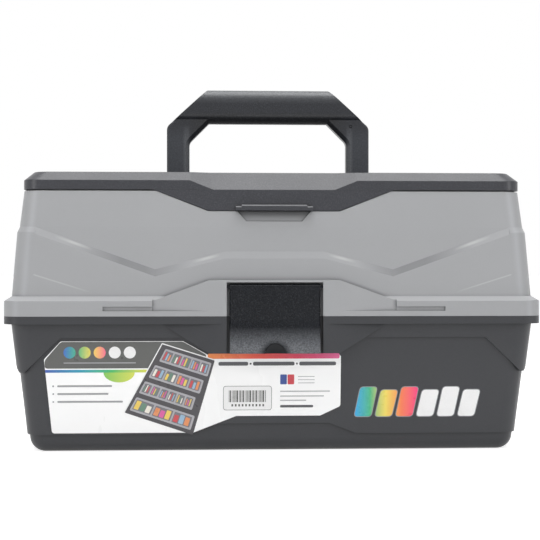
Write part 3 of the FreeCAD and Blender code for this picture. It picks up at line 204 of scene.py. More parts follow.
# each row's left, right, top and bottom, as shares of the drawing, and its number of cells
DRAWN_ROWS = ((0.1, 0.96, 0.05, 0.23, 5), (0.07, 0.92, 0.29, 0.47, 4),
              (0.05, 0.88, 0.53, 0.70, 6), (0.05, 0.95, 0.76, 0.95, 3))
DRAWN_WALL = 0.025
DRAWN_ROW_MARGIN = 0.03
DRAWN_CELL_MARGIN = 0.02
DRAWN_PIECES = 3  # in each cell
DRAWN_PIECE_START = 0.012
DRAWN_PIECE_GAP = 0.014
DRAWN_PIECE_INSET = 0.036
DRAWN_PIECE_STEP = 0.012
DRAWING_BORDER_HALF_WIDTH = 0.45
DRAWING_RADIUS = 1.5
DRAWN_ROW_RADIUS = 1.2
DRAWN_CELL_RADIUS = 0.6
DRAWN_PIECE_RADIUS = 0.5

# ---- the sticker of slanted chips ----
CHIP_FIRST_X = 68.0
CHIP_PITCH = 17.6
CHIP_WIDTH = 14.2
CHIP_LEAN = 5.0
CHIP_LOW_Z = 29.5
CHIP_HIGH_Z = 54.5
CHIP_STAGGER = 2.5
CHIP_COUNT = 6
COLOURED_CHIPS = 3
CHIP_RADIUS = 3.0
CHIP_EDGE_RADIUS = 3.5
CHIP_EDGE = 0.6
CHIP_EDGE_SKEW = 0.1

# ---- camera ----
IMAGE_SIZE = 540  # pixels
FOCAL_PIXELS = 1350.0
SENSOR_WIDTH = 36.0
CAMERA_DISTANCE = 1242.0
CAMERA_HEIGHT = 153.5
CAMERA_TURN = 3.0  # degrees
AIM_SHIFT = 2.3 / IMAGE_SIZE

# ---- studio: metres and watts ----
LAMPS = (("top_softbox", (0.0, -0.22, 1.45), (0.0, -0.22, 0.2), (1.3, 1.1), 21.0),
         ("front_softbox", (0.0, -1.4, 1.4), (0.0, 0.0, 0.15), (1.4, 0.3), 2.8),
         ("left_softbox", (-1.5, -1.1, 0.7), (0.0, 0.0, 0.15), (0.35, 1.0), 7.3),
         ("right_softbox", (1.5, -1.1, 0.7), (0.0, 0.0, 0.15), (0.35, 1.0), 6.7))
WORLD_LIGHT = 0.33
FLOOR_REACH = 30.0
FLOOR_GLOW = 0.72  # with the light that falls on it, white to the camera
FLOOR_ALBEDO = 0.8
FLOOR_ROUGHNESS = 0.9

# ---- colours, from 0 to 255, as a screen shows them; a gradient's first and last X come first ----
LID_GREY = (158, 159, 161)
# painted shade down the lid's crease slopes and deeper in its valley, and a painted glint beside each bend
CREASE_SLOPE_SHADE = (156, 157, 159)
CREASE_SHADE = (126, 127, 129)
CREASE_GLINT = (178, 179, 179)
SCORE_LIGHT = (176, 177, 178)
CORNER_LIGHT = (163, 164, 167)
SCOOP_SHADOW = (30, 31, 33)
BASE_GREY = (55, 56, 59)
CAP_GREY = (50, 51, 56)
HANDLE_BLACK = (26, 28, 34)
GRIP_LIGHT = (86, 88, 91)
GRIP_SHADOW = (13, 14, 17)
# painted light on the legs, and a painted highlight along their inner edges
LEG_PAINTED_LIGHT = (48, 51, 57)
LEG_EDGE_HIGHLIGHT = (78, 80, 84)
LATCH_BLACK = (11, 14, 20)
# the painted highlight down the latch's flare
LATCH_FLARE_HIGHLIGHT = (102, 104, 108)
HOLLOW_BLACK = (12, 14, 18)
TRAY_GREY = (172, 171, 176)
DIVIDER_GREY = (180, 179, 184)
FILM_WHITE = (250, 250, 250)
# the black of the painted shade in each crevice
CREVICE_SHADE_BLACK = (8, 8, 9)
ZINC = ((168, 168, 172), (205, 205, 208))
BLACKENED = ((26, 27, 30), (40, 41, 45))
INK_DARK = (86, 87, 85)
INK_LINE = (150, 151, 153)
INK_BOLD = (74, 75, 79)
INK_WHITE = (238, 238, 238)
INK_BLUE = (46, 70, 140)
INK_RED = (196, 62, 72)
COOL_GRADIENT = (-191, -107, ((56, 88, 172), (36, 150, 180), (70, 180, 96), (214, 216, 84)))
TAB_GRADIENT = (-145, -117, ((108, 186, 84), (212, 218, 92)))
DISC_GRADIENT = (-176, -140, ((58, 104, 190), (72, 182, 124), (240, 214, 92), (244, 88, 146)))
WARM_GRADIENT = (-55, 57, ((238, 140, 70), (232, 84, 60), (214, 48, 84), (222, 96, 150)))
DRAWING_GROUND = (64, 62, 66)
DRAWING_TRAY = (168, 167, 172)
DRAWING_CELL = (112, 111, 117)
DRAWING_INKS = {"red": (196, 72, 78), "yellow": (232, 200, 96), "sky": (150, 180, 204),
                "green": (96, 132, 112), "orange": (222, 142, 92), "cream": (234, 228, 216),
                "pink": (214, 92, 158)}
CHIP_EDGE_GREY = (140, 142, 146)
CHIP_GRADIENT = (68, 121,
                 ((50, 166, 226), (66, 178, 128), (238, 216, 96), (246, 126, 80), (246, 62, 124)))
CHIP_WHITE = (240, 240, 240)

# ---- scales of the plastics' and inks' patterns, per metre ----
FLECK_SCALE = 1000.0
BLOTCH_SCALE = 9.0
SMEAR_SCALE = 22.0
DRAWN_STEEL_SCALE = 900.0
INK_SCREEN_SCALE = 2600.0
INK_DENSITY_SCALE = 60.0

# ---- strengths and limits of the patterns ----
PALE_GAIN = 1.6
PALE_LIFT = 0.03
BLOTCH_LIGHT = (0.985, 1.015)
ROUGHNESS_DROP = 0.04
ROUGHNESS_RISE = 0.05
SMEAR_STRETCH = (1.0, 1.0, 0.25)
DRAWN_STRETCH = (0.05, 1.0, 1.0)
DRAWN_ROUGHNESS = (0.25, 0.4)
NOISE_SPAN = (0.3, 0.7)  # what a noise mostly stays between
FLECK_SPAN = (0.48, 0.68)
WEAR_AND_SHEEN_SPAN = (0.35, 0.7)
EDGE_SPAN = (0.995, 0.85)  # of the cosine between the flat and the rounded normal
CREVICE_SPAN = (0.94, 0.3)
CREVICE_REACH = 4.0
PLASTIC_RELIEF = 0.1
INK_RELIEF = 0.02
INK_BUMP = 0.05
INK_SCREEN_LIGHT = (0.96, 1.04)
INK_DENSITY_LIGHT = (0.975, 1.02)
INK_ROUGHNESS = (0.26, 0.35)
RAINBOW_SCREEN_LIGHT = (0.97, 1.03)
RAINBOW_ROUGHNESS = (0.24, 0.34)

# the Mix node's sockets for colours
MIX_FACTOR, MIX_FIRST, MIX_SECOND, MIX_RESULT = 0, 6, 7, 2


def linear(colour):
    """A colour as a screen shows it, from 0 to 255, as Blender's linear colour."""
    def channel(value):
        value /= 255
        return value / 12.92 if value <= 0.04045 else ((value + 0.055) / 1.055) ** 2.4
    return tuple(channel(value) for value in colour) + (1.0,)


class Graph:
    """A tree of nodes, built one call at a time."""

    def __init__(self, tree):
        self.tree = tree

    def feed(self, socket, value):
        """Link a socket to another one, or set it."""
        if isinstance(value, bpy.types.NodeSocket):
            self.tree.links.new(value, socket)
        else:
            socket.default_value = value

    def add(self, kind, inputs=None, **settings):
        node = self.tree.nodes.new(kind)
        for key, value in settings.items():
            setattr(node, key, value)
        for key, value in (inputs or {}).items():
            self.feed(node.inputs[key], value)
        return node

    def math(self, operation, first, second=0.0):
        return self.add("ShaderNodeMath", {0: first, 1: second}, operation=operation).outputs[0]

    def product(self, first, *others):
        for other in others:
            first = self.math("MULTIPLY", first, other)
        return first

    def spread(self, value, low, high, to_low=0.0, to_high=1.0):
        """A value between low and high, carried over to another span and kept inside it."""
        inputs = {"Value": value, "From Min": low, "From Max": high, "To Min": to_low,
                  "To Max": to_high}
        return self.add("ShaderNodeMapRange", inputs).outputs[0]

    def band(self, value, start, rise, fall, end):
        """A mask that is 1 from rise to fall, and 0 before start and after end."""
        return self.product(self.spread(value, start, rise), self.spread(value, end, fall))

    def near(self, value, middle, edge, core):
        """A mask that is 1 within core of the middle, and 0 beyond edge."""
        off = self.math("ABSOLUTE", self.math("SUBTRACT", value, middle))
        return self.spread(off, edge, core)

    def blend(self, factor, first, second, mode="MIX"):
        inputs = {MIX_FACTOR: factor, MIX_FIRST: first, MIX_SECOND: second}
        node = self.add("ShaderNodeMix", inputs, data_type="RGBA", blend_type=mode)
        return node.outputs[MIX_RESULT]


class MaterialGraph(Graph):
    """A new material's tree, with patterns that stay on the piece as it moves."""

    def __init__(self, name):
        self.material = bpy.data.materials.new(name)
        self.material.use_nodes = True
        super().__init__(self.material.node_tree)
        self.shader = self.tree.nodes["Principled BSDF"]

    def set(self, values):
        """Set the shader's own sockets, each to one value all over the surface."""
        for key, value in values.items():
            self.shader.inputs[key].default_value = value

    def place(self):
        return self.add("ShaderNodeTexCoord").outputs["Object"]

    def axes(self):
        """The X, Y and Z of the place, in millimetres."""
        scaled = self.add("ShaderNodeVectorMath", {0: self.place(), "Scale": 1 / MM},
                          operation="SCALE")
        return self.add("ShaderNodeSeparateXYZ", {"Vector": scaled.outputs[0]}).outputs

    def facing(self):
        """The X, Y and Z of the surface's normal."""
        normal = self.add("ShaderNodeTexCoord").outputs["Normal"]
        return self.add("ShaderNodeSeparateXYZ", {"Vector": normal}).outputs

    def noise(self, scale, detail=2.0, roughness=0.5, stretch=(1.0, 1.0, 1.0)):
        mapping = self.add("ShaderNodeMapping", {"Vector": self.place(), "Scale": stretch})
        inputs = {"Vector": mapping.outputs[0], "Scale": scale, "Detail": detail,
                  "Roughness": roughness}
        return self.add("ShaderNodeTexNoise", inputs).outputs["Fac"]

    def between(self, noise, low, high):
        """A noise that mostly runs from low to high."""
        return self.spread(noise, *NOISE_SPAN, low, high)

    def shaded(self, colour, light):
        """A colour times a light that is about 1."""
        grey = self.add("ShaderNodeCombineColor", {"Red": light, "Green": light, "Blue": light})
        return self.blend(1.0, colour, grey.outputs[0], "MULTIPLY")

    # Painted shade: the colour goes towards black where ambient occlusion finds a crevice close by.
    def crevice_painted_shade(self, colour, amount):
        hidden = self.add("ShaderNodeAmbientOcclusion", {"Distance": CREVICE_REACH * MM},
                          samples=8)
        depth = self.spread(hidden.outputs["AO"], *CREVICE_SPAN, 0.0, amount)
        return self.blend(depth, colour, linear(CREVICE_SHADE_BLACK))

    def edges(self, radius):
        """The rounded normal, and a mask that is 1 along sharp edges."""
        rounded_normal = self.add("ShaderNodeBevel", {"Radius": radius * MM}, samples=6).outputs[0]
        flat_normal = self.add("ShaderNodeNewGeometry").outputs["Normal"]
        turn = self.add("ShaderNodeVectorMath", {0: rounded_normal, 1: flat_normal},
                        operation="DOT_PRODUCT")
        return rounded_normal, self.spread(turn.outputs["Value"], *EDGE_SPAN)

    def finish(self, colour, roughness, height, bump, relief, normal=None):
        """Feed the shader: its colour, its roughness, and a relief from a height."""
        inputs = {"Height": height, "Strength": bump, "Distance": relief * MM}
        if normal is not None:
            inputs["Normal"] = normal
        relief_normal = self.add("ShaderNodeBump", inputs).outputs[0]
        self.feed(self.shader.inputs["Base Color"], colour)
        self.feed(self.shader.inputs["Roughness"], roughness)
        self.feed(self.shader.inputs["Normal"], relief_normal)
        return self.material


# ---- plastics and steel ----
def moulded_plastic(name, colour, roughness, grain=0.25, grain_scale=1500.0, speckle=0.05,
                    edge_light=0.12, bevel=0.5, ior=1.5, painted_light=None, crevice_shade=0.6, flecks=0.0):
    """Injection-moulded plastic: spark-eroded grain, soft blotches, edges paler from rubbing wear and from a
    painted highlight, and painted shade in each crevice.
    """
    g = MaterialGraph(name)
    own = linear(colour)
    pale = tuple(min(1.0, channel * PALE_GAIN + PALE_LIFT) for channel in own[:3]) + (1.0,)
    # the piece's painted light and shade, where it has them
    plain = painted_light(g, own) if painted_light else own
    if flecks:
        spots = g.noise(FLECK_SCALE, 2.0, 0.6)
        plain = g.blend(g.spread(spots, *FLECK_SPAN, 0.0, flecks), plain, pale)
    # painted shade in each crevice
    if crevice_shade:
        plain = g.crevice_painted_shade(plain, crevice_shade)
    rounded_normal, edge_mask = g.edges(bevel)
    fine = g.noise(grain_scale, 3.0, 0.6)
    blotch = g.noise(BLOTCH_SCALE, 3.0, 0.55)
    smear = g.noise(SMEAR_SCALE, 4.0, 0.6, SMEAR_STRETCH)
    light = g.product(g.between(fine, 1.0 - speckle, 1.0 + speckle),
                      g.between(blotch, *BLOTCH_LIGHT))
    # Edges painted paler: partly rubbing wear, partly a painted highlight along them.
    wear_and_sheen = g.product(edge_mask, g.spread(smear, *WEAR_AND_SHEEN_SPAN), edge_light)
    g.set({"IOR": ior})
    return g.finish(g.blend(wear_and_sheen, g.shaded(plain, light), pale),
                    g.between(smear, roughness - ROUGHNESS_DROP, roughness + ROUGHNESS_RISE),
                    fine, grain, PLASTIC_RELIEF, rounded_normal)


def steel(name, colours):
    """Plated or blackened steel, streaked along X between two colours."""
    g = MaterialGraph(name)
    drawn = g.noise(DRAWN_STEEL_SCALE, 2.0, 0.5, DRAWN_STRETCH)
    dull, bright = colours
    g.set({"Metallic": 1.0})
    g.feed(g.shader.inputs["Base Color"],
           g.blend(g.between(drawn, 0.0, 1.0), linear(dull), linear(bright)))
    g.feed(g.shader.inputs["Roughness"], g.between(drawn, *DRAWN_ROUGHNESS))
    return g.material


def lid_light(g, colour):
    """The lid's plastic, with the light and shade of its crease, score, corners and scoop."""
    at, facing = g.axes(), g.facing()
    along = g.math("ABSOLUTE", at["X"])
    front = g.spread(at["Y"], 0.0, -1.0)
    lit = crease_light(g, colour, along, at["Z"], facing["Z"])
    lit = score_light(g, lit, along, at["Z"], front)
    # painted sheen on the front corners
    sheen = g.band(g.math("ABSOLUTE", facing["X"]), *CORNER_TURNS)
    lit = g.blend(g.product(sheen, front), lit, linear(CORNER_LIGHT))
    return scoop_shade(g, lit, along, at["Z"], front)


def crease_light(g, colour, along, height, tilt):
    """Shade down the crease's long slopes, and a thin glint beside each bend."""
    slope = g.product(g.spread(tilt, *CREASE_TILTS), g.spread(height, *CREASE_FROM_HEIGHTS))
    outer = g.spread(along, CREASE_VALLEY_X, CREASE_END_X, CREASE_VALLEY_Z, CREASE_END_Z)
    inner = g.spread(along, CREASE_VALLEY_X, CREASE_FLAT_X, 0.0, CREASE_FLAT_Z - CREASE_VALLEY_Z)
    depth = g.math("SUBTRACT", g.math("ADD", outer, inner), height)
    glints = [g.near(along, middle, half, GLINT_CORE) for middle, half in GLINTS_X]
    glint = g.product(g.math("MAXIMUM", *glints), g.near(depth, GLINT_DEPTH, *GLINT_HALF_WIDTHS))
    lit = g.blend(slope, colour, linear(CREASE_SLOPE_SHADE))
    lit = g.blend(g.product(slope, g.band(along, *CREASE_SHADE_X)), lit, linear(CREASE_SHADE))
    return g.blend(g.product(slope, glint), lit, linear(CREASE_GLINT))


def score_light(g, colour, along, height, front):
    """A faint painted highlight line that falls towards the middle and fades out there."""
    line = g.spread(along, *SCORE_X, *SCORE_Z)
    score = g.product(g.near(height, line, *SCORE_HALF_WIDTHS), g.band(along, *SCORE_FADE_X), front)
    return g.blend(score, colour, linear(SCORE_LIGHT))


def scoop_shade(g, colour, along, height, front):
    """The scoop's shade, deepest under the tab and beside the scoop's ends."""
    drop = g.spread(height, SCOOP_TOP_Z, SCOOP_TOP_Z - SCOOP_HEIGHT)
    end = g.spread(drop, 0.0, 1.0, SCOOP_HALF_LENGTH, SCOOP_HALF_LENGTH - SCOOP_SIDE_RUN)
    from_end = g.math("SUBTRACT", end, along)
    inside = g.product(g.spread(from_end, 0.0, SCOOP_EDGE_SOFTNESS),
                       g.spread(drop, *SCOOP_FOOT_SHARES), front)
    under_tab = g.spread(drop, *SCOOP_TAB_SHARES, 0.0, SCOOP_TAB_SHADE)
    by_end = g.product(g.spread(from_end, SCOOP_END_LENGTH, 0.0, 0.0, SCOOP_END_SHADE),
                       g.spread(drop, *SCOOP_END_SHARES))
    shade = g.product(inside, g.math("MAXIMUM", under_tab, by_end))
    return g.blend(shade, colour, linear(SCOOP_SHADOW))


def latch_light(g, colour):
    """The latch's plastic, with a painted highlight down its flare, kept off round the thumb hollow."""
    at = g.axes()
    across = g.math("DIVIDE", at["X"], HOLLOW_DARK_HALF_WIDTH)
    up = g.math("DIVIDE", g.math("SUBTRACT", at["Z"], LATCH_FOOT_Z), HOLLOW_DARK_RISE)
    squares = g.math("ADD", g.product(across, across), g.product(up, up))
    clear = g.spread(g.math("SQRT", squares), *HOLLOW_DARK_REACH)
    down = g.spread(at["Z"], LATCH_HIGHLIGHT_FROM_Z, LATCH_HIGHLIGHT_FULL_Z)
    return g.blend(g.product(down, clear), colour, linear(LATCH_FLARE_HIGHLIGHT))


def handle_light(g, colour):
    """The handle's plastic, with painted highlights along the grip's top and the legs' inner edges, the legs
    painted lighter, and painted shade beneath the grip.
    """
    at = g.axes()
    along = g.math("ABSOLUTE", at["X"])
    depth = g.math("SUBTRACT", GRIP_TOP_Z, at["Z"])
    low = g.spread(depth, *LEG_DEPTHS)
    under = g.product(g.spread(depth, *GRIP_SHADOW_DEPTHS), g.spread(along, *GRIP_SHADOW_X))
    lit = g.blend(g.product(low, g.spread(along, *LEG_X)), colour, linear(LEG_PAINTED_LIGHT))
    lit = g.blend(g.product(low, g.band(along, *LEG_EDGE_X)), lit, linear(LEG_EDGE_HIGHLIGHT))
    lit = g.blend(under, lit, linear(GRIP_SHADOW))
    return g.blend(g.spread(depth, *GRIP_LIGHT_DEPTHS), lit, linear(GRIP_LIGHT))


def make_materials():
    """The finishes by slot: the record's slots, and two more for the latch's pin and hollow."""
    return {
        "lid_plastic": moulded_plastic(
            "lid_grey_plastic", LID_GREY, 0.42, grain=0.12, grain_scale=1800.0, speckle=0.015,
            edge_light=0.35, ior=1.4, painted_light=lid_light),
        "base_plastic": moulded_plastic(
            "base_dark_plastic", BASE_GREY, 0.40, grain=0.16, grain_scale=1100.0, speckle=0.07,
            ior=1.38),
        "cap_plastic": moulded_plastic(
            "cap_dark_plastic", CAP_GREY, 0.33, grain=0.4, grain_scale=900.0, speckle=0.2,
            ior=1.44, flecks=0.3),
        "handle_plastic": moulded_plastic(
            "handle_dark_plastic", HANDLE_BLACK, 0.34, grain=0.8, grain_scale=800.0, speckle=0.3,
            ior=1.45, painted_light=handle_light, flecks=0.5),
        "latch_plastic": moulded_plastic(
            "latch_black_plastic", LATCH_BLACK, 0.24, grain=0.8, grain_scale=800.0, speckle=0.4,
            ior=1.29, painted_light=latch_light, flecks=0.5),
        "thumb_hollow": moulded_plastic(
            "thumb_hollow_plastic", HOLLOW_BLACK, 0.3, grain=0.6, grain_scale=800.0, speckle=0.3,
            ior=1.3),
        "tray_plastic": moulded_plastic(
            "tray_plastic", TRAY_GREY, 0.45, grain=0.1, speckle=0.015),
        "divider_plastic": moulded_plastic(
            "divider_plastic", DIVIDER_GREY, 0.45, grain=0.1, speckle=0.015),
        "label_film": moulded_plastic(
            "label_white_film", FILM_WHITE, 0.28, grain=0.02, speckle=0.004, edge_light=0.0,
            bevel=0.1, crevice_shade=0.0),
        "steel": steel("zinc_steel", ZINC),
        "black_steel": steel("blackened_steel", BLACKENED),
    }


def dress_nodes(materials):
    """Each CAD node takes the finish of its slot in the record; the latch's pin is blackened."""
    for part in frame["record"]["subparts"]:
        node = frame["nodes"][part["node"]]
        slot = "black_steel" if part["node"] == "latch_hinge_pin" else part["material_slot"]
        node.data.materials.clear()
        node.data.materials.append(materials[slot])


# ---- inks ----
def ink(name, colour):
    """Flat print on film: a fine screen, slightly uneven density and a soft gloss."""
    g = MaterialGraph(name)
    screen = g.noise(INK_SCREEN_SCALE)
    density = g.noise(INK_DENSITY_SCALE, 3.0, 0.6)
    light = g.product(g.between(screen, *INK_SCREEN_LIGHT),
                      g.between(density, *INK_DENSITY_LIGHT))
    return g.finish(g.shaded(linear(colour), light), g.between(density, *INK_ROUGHNESS),
                    screen, INK_BUMP, INK_RELIEF)


def rainbow_ink(name, start_x, end_x, stops):
    """Print whose colour runs along the case between two places."""
    g = MaterialGraph(name)
    ramp = g.add("ShaderNodeValToRGB", {"Fac": g.spread(g.axes()["X"], start_x, end_x)})
    points = ramp.color_ramp.elements
    while len(points) < len(stops):
        points.new(0.5)
    for index, (point, colour) in enumerate(zip(points, stops)):
        point.position = index / (len(stops) - 1)
        point.color = linear(colour)
    screen = g.noise(INK_SCREEN_SCALE)
    density = g.noise(INK_DENSITY_SCALE, 3.0, 0.6)
    return g.finish(g.shaded(ramp.outputs["Color"], g.between(screen, *RAINBOW_SCREEN_LIGHT)),
                    g.between(density, *RAINBOW_ROUGHNESS), screen, INK_BUMP, INK_RELIEF)


# ---- building pieces ----
def finish_piece(bm, name, materials, body):
    """Turn a built mesh into a piece that rides on a body."""
    bmesh.ops.recalc_face_normals(bm, faces=bm.faces)
    mesh = bpy.data.meshes.new(name)
    bm.to_mesh(mesh)
    bm.free()
    for material in materials:
        mesh.materials.append(material)
    piece = bpy.data.objects.new(name, mesh)
    bpy.context.scene.collection.objects.link(piece)
    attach(piece, body)


def rounded(points, radius, steps=4):
    """A polygon's outline with each corner cut by a curve that starts about a radius from it."""
    outline = []
    for index, corner in enumerate(points):
        corner = Vector(corner)
        before = Vector(points[index - 1]) - corner
        after = Vector(points[(index + 1) % len(points)]) - corner
        reach = min(radius, before.length / 2, after.length / 2)
        start = corner + before.normalized() * reach
        end = corner + after.normalized() * reach
        for step in range(steps + 1):
            share = step / steps
            near, far = start.lerp(corner, share), corner.lerp(end, share)
            outline.append(tuple(near.lerp(far, share)))
    return outline


def bar(x_range, z_range, radius=0.0):
    """A level bar's outline, with rounded corners where a radius is given."""
    (left, right), (low, high) = x_range, z_range
    corners = [(left, low), (right, low), (right, high), (left, high)]
    return rounded(corners, radius) if radius else corners


def about(middle, half):
    return middle - half, middle + half


def ellipse(x, z, half_width, half_height, angles):
    return [(x + half_width * math.cos(a), z + half_height * math.sin(a)) for a in angles]


def turned(profile, place, axis, segments=24):
    """A mesh turned round an axis; a radius of the profile may follow the angle."""
    bm = bmesh.new()
    turn = Vector((0, 0, 1)).rotation_difference(Vector(axis))

    def vertex(radius, height, angle):
        point = Vector((radius * math.cos(angle), radius * math.sin(angle), height))
        return bm.verts.new((turn @ point + Vector(place)) * MM)

    rings = []
    for radius, height in profile:
        if radius == 0:
            rings.append([vertex(0, height, 0)] * segments)
            continue
        angles = [math.tau * k / segments for k in range(segments)]
        rings.append([vertex(radius(a) if callable(radius) else radius, height, a)
                      for a in angles])
    for first, second in zip(rings, rings[1:]):
        for k in range(segments):
            n = (k + 1) % segments
            corners = [first[k], first[n], second[n], second[k]]
            bm.faces.new(list(dict.fromkeys(corners)))
    return bm


# ---- fasteners and moulded details ----
def screw_cross(angle):
    """The radius of a cross recess at an angle."""
    angle = angle % (math.pi / 2)
    angle = min(angle, math.pi / 2 - angle)
    return min(SCREW_CROSS_LENGTH / math.cos(angle),
               SCREW_CROSS_HALF_WIDTH / max(math.sin(angle), 0.01))


def make_screws(steel_finish):
    """Cross-recess pan screws under the lid's ceiling."""
    head = [(0, 0), (3.6, 0), (3.6, 0.7), (3.3, 1.5), (2.6, 2.0), (screw_cross, 2.1),
            (screw_cross, 1.0), (0, 1.0)]
    for index, (x, y) in enumerate(SCREW_PLACES):
        bm = turned(head, (x, y, CEILING_Z), (0, 0, -1), 48)
        finish_piece(bm, f"deck_screw_{index + 1}", [steel_finish], "lid")


def make_pin_caps(steel_finish):
    """Push-on caps on the trays' pins, outside the arms."""
    cap = [(0, 0), (4.0, 0), (4.0, 0.5), (3.5, 1.1), (2.4, 1.1), (2.0, 0.6), (1.0, 0.6),
           (0.6, 0.9), (0, 0.9)]
    arm_spacing = PIVOTS["rear_arm_pivot"] - PIVOTS["front_arm_pivot"]
    rows = {"front": Vector((0, 0, 0)), "rear": arm_spacing}
    for tray in ("tray_lower", "tray_middle", "tray_upper"):
        for side, hand in ((-1, "left"), (1, "right")):
            outside = Vector((side * (ARM_OUTER_X + PIN_CAP_GAP), 0, 0))
            for row, offset in rows.items():
                bm = turned(cap, PIVOTS[f"{tray}_pivot"] + offset + outside, (side, 0, 0))
                name = f"pin_cap_{tray.removeprefix('tray_')}_{row}_{hand}"
                finish_piece(bm, name, [steel_finish], tray)


def make_thumb_hollow(plastic):
    """The dished thumb hollow that fills the latch's notch."""
    bm = bmesh.new()
    ring_count, turns = 8, 24

    def point(radius, angle, inward):
        x, rise = radius * math.cos(angle), radius * math.sin(angle)
        y = LATCH_FOOT_Y + rise * LATCH_FLARE_SLOPE + inward
        return bm.verts.new(Vector((x, y, LATCH_FOOT_Z + HOLLOW_SILL_RISE + rise)) * MM)

    def dish(radius):
        return HOLLOW_SETBACK + HOLLOW_DEPTH * (1 - (radius / HOLLOW_RADIUS) ** 2)

    angles = [math.pi * k / turns for k in range(turns + 1)]
    radii = [HOLLOW_RADIUS * (k + 1) / ring_count for k in range(ring_count)]
    middle = point(0, 0, dish(0))
    front = [[point(radius, a, dish(radius)) for a in angles] for radius in radii]
    rear = [point(HOLLOW_RADIUS, a, HOLLOW_BACK_DEPTH) for a in angles]
    for k in range(turns):
        bm.faces.new((middle, front[0][k], front[0][k + 1])).smooth = True
        for inner, outer in zip(front, front[1:]):
            bm.faces.new((inner[k], outer[k], outer[k + 1], inner[k + 1])).smooth = True
        bm.faces.new((front[-1][k], rear[k], rear[k + 1], front[-1][k + 1]))
    bm.faces.new(rear)
    sill = [ring[0] for ring in reversed(front)] + [middle] + [ring[-1] for ring in front]
    bm.faces.new(sill + [rear[-1], rear[0]])
    finish_piece(bm, "latch_thumb_hollow", [plastic], "latch")


def make_mould_mark(plastic):
    """A tiny raised ring on the front of the handle's right shoulder, darker than the handle as painted shade for
    a recessed ring.
    """
    ring = [(0.8, 0), (1.5, 0), (1.4, 0.25), (0.9, 0.25), (0.8, 0)]
    bm = turned(ring, (MOULD_MARK_X, HANDLE_FRONT_Y, MOULD_MARK_Z), (0, -1, 0))
    bmesh.ops.remove_doubles(bm, verts=bm.verts, dist=0.001 * MM)
    finish_piece(bm, "handle_mould_mark", [plastic], "handle")


# ---- print on the front panel ----
def on_panel(x, z, proud):
    """A point of the base's front panel, in metres, raised from it by a distance."""
    y = PANEL_HEAD_Y + (PANEL_HEAD_Z - z) * PANEL_LEAN
    return Vector((x, y - proud, z)) * MM


def printed(name, shapes, inks, low, high):
    """Thin shapes on the front panel: each is an outline of (x, z), and its ink's index."""
    bm = bmesh.new()
    for outline, index in shapes:
        back, face = [[bm.verts.new(on_panel(x, z, proud)) for x, z in outline]
                      for proud in (low, high)]
        faces = [bm.faces.new(face), bm.faces.new(back[::-1])]
        for k in range(len(outline)):
            n = (k + 1) % len(outline)
            faces.append(bm.faces.new((back[k], back[n], face[n], face[k])))
        for part in faces:
            part.material_index = index
    finish_piece(bm, name, inks, "base")


def on_label(name, shapes, inks, layer=1):
    """Shapes printed on the label, on top of the layers below."""
    printed(name, shapes, inks, LABEL_THICKNESS - PRINT_THICKNESS,
            LABEL_THICKNESS + layer * PRINT_THICKNESS)


def in_one_ink(name, outlines, one_ink, layer=1):
    on_label(name, [(outline, 0) for outline in outlines], [one_ink], layer)


def make_label_print():
    """A plain label of no maker: a header, colour bands, a drawing of trays and ruled lines."""
    dark = ink("ink_header_grey", INK_DARK)
    line = ink("ink_rule_grey", INK_LINE)
    white = ink("ink_white", INK_WHITE)
    bold = ink("ink_bold_grey", INK_BOLD)
    in_one_ink("label_header", [rounded(HEADER, HEADER_RADIUS)], dark)
    in_one_ink("label_cool_band", [bar(*COOL_BAND)],
               rainbow_ink("ink_cool_band", *COOL_GRADIENT))
    half_turn = [math.tau * k / CURVE_STEPS for k in range(CURVE_STEPS // 2 + 1)]
    in_one_ink("label_hanging_tab", [ellipse(TAB_X, TAB_Z, TAB_HALF_WIDTH, -TAB_DROP, half_turn)],
               rainbow_ink("ink_tab_green", *TAB_GRADIENT))
    make_header_discs(white, line)
    make_rows(line, bold)
    in_one_ink("label_warm_band", [bar(*WARM_BAND, WARM_BAND_RADIUS)],
               rainbow_ink("ink_warm_band", *WARM_GRADIENT))
    make_stripe_block(dark, white)
    make_colour_fields(line)
    make_tray_drawing(white)


def make_header_discs(white, line):
    """Five discs on the header, three in running colours and two white, over a thin rule."""
    full_turn = [math.tau * k / CURVE_STEPS for k in range(CURVE_STEPS)]
    discs = [ellipse(DISC_FIRST_X + k * DISC_PITCH, DISC_Z, DISC_RADIUS, DISC_RADIUS, full_turn)
             for k in range(DISC_COUNT)]
    in_one_ink("header_colour_discs", discs[:COLOURED_DISCS],
               rainbow_ink("ink_header_rainbow", *DISC_GRADIENT), layer=2)
    in_one_ink("header_white_discs", discs[COLOURED_DISCS:], white, layer=2)
    in_one_ink("header_rule", [bar(*HEADER_RULE)], line, layer=2)


def make_rows(line, bold):
    """Rows of plain bars where a label has its wording."""
    rows = []
    for k, end in enumerate(ITEM_ENDS_X):
        level = ITEM_TOP_Z - ITEM_PITCH * k
        rows.append((bar(ITEM_DOT_X, about(level, ITEM_DOT_HALF_HEIGHT), ITEM_DOT_RADIUS), 0))
        rows.append((bar((ITEM_START_X, end), about(level, ITEM_HALF_HEIGHT), ITEM_RADIUS), 0))
    rows += [(bar(x_range, TITLE_BAR_Z, TITLE_BAR_RADIUS), 1) for x_range in TITLE_BARS_X]
    dot_z = about(TITLE_DOT_Z, TITLE_DOT_HALF_SIZE)
    rows += [(bar(about(x, TITLE_DOT_HALF_SIZE), dot_z, TITLE_DOT_RADIUS), 1)
             for x in TITLE_DOTS_X]
    rows += [(bar((LINE_START_X, end), about(level, LINE_HALF_HEIGHT)), 0)
             for level, end in LINE_ENDS]
    rows.append((bar(*LAST_LINE, LAST_LINE_RADIUS), 1))
    on_label("label_rows", rows, [line, bold])


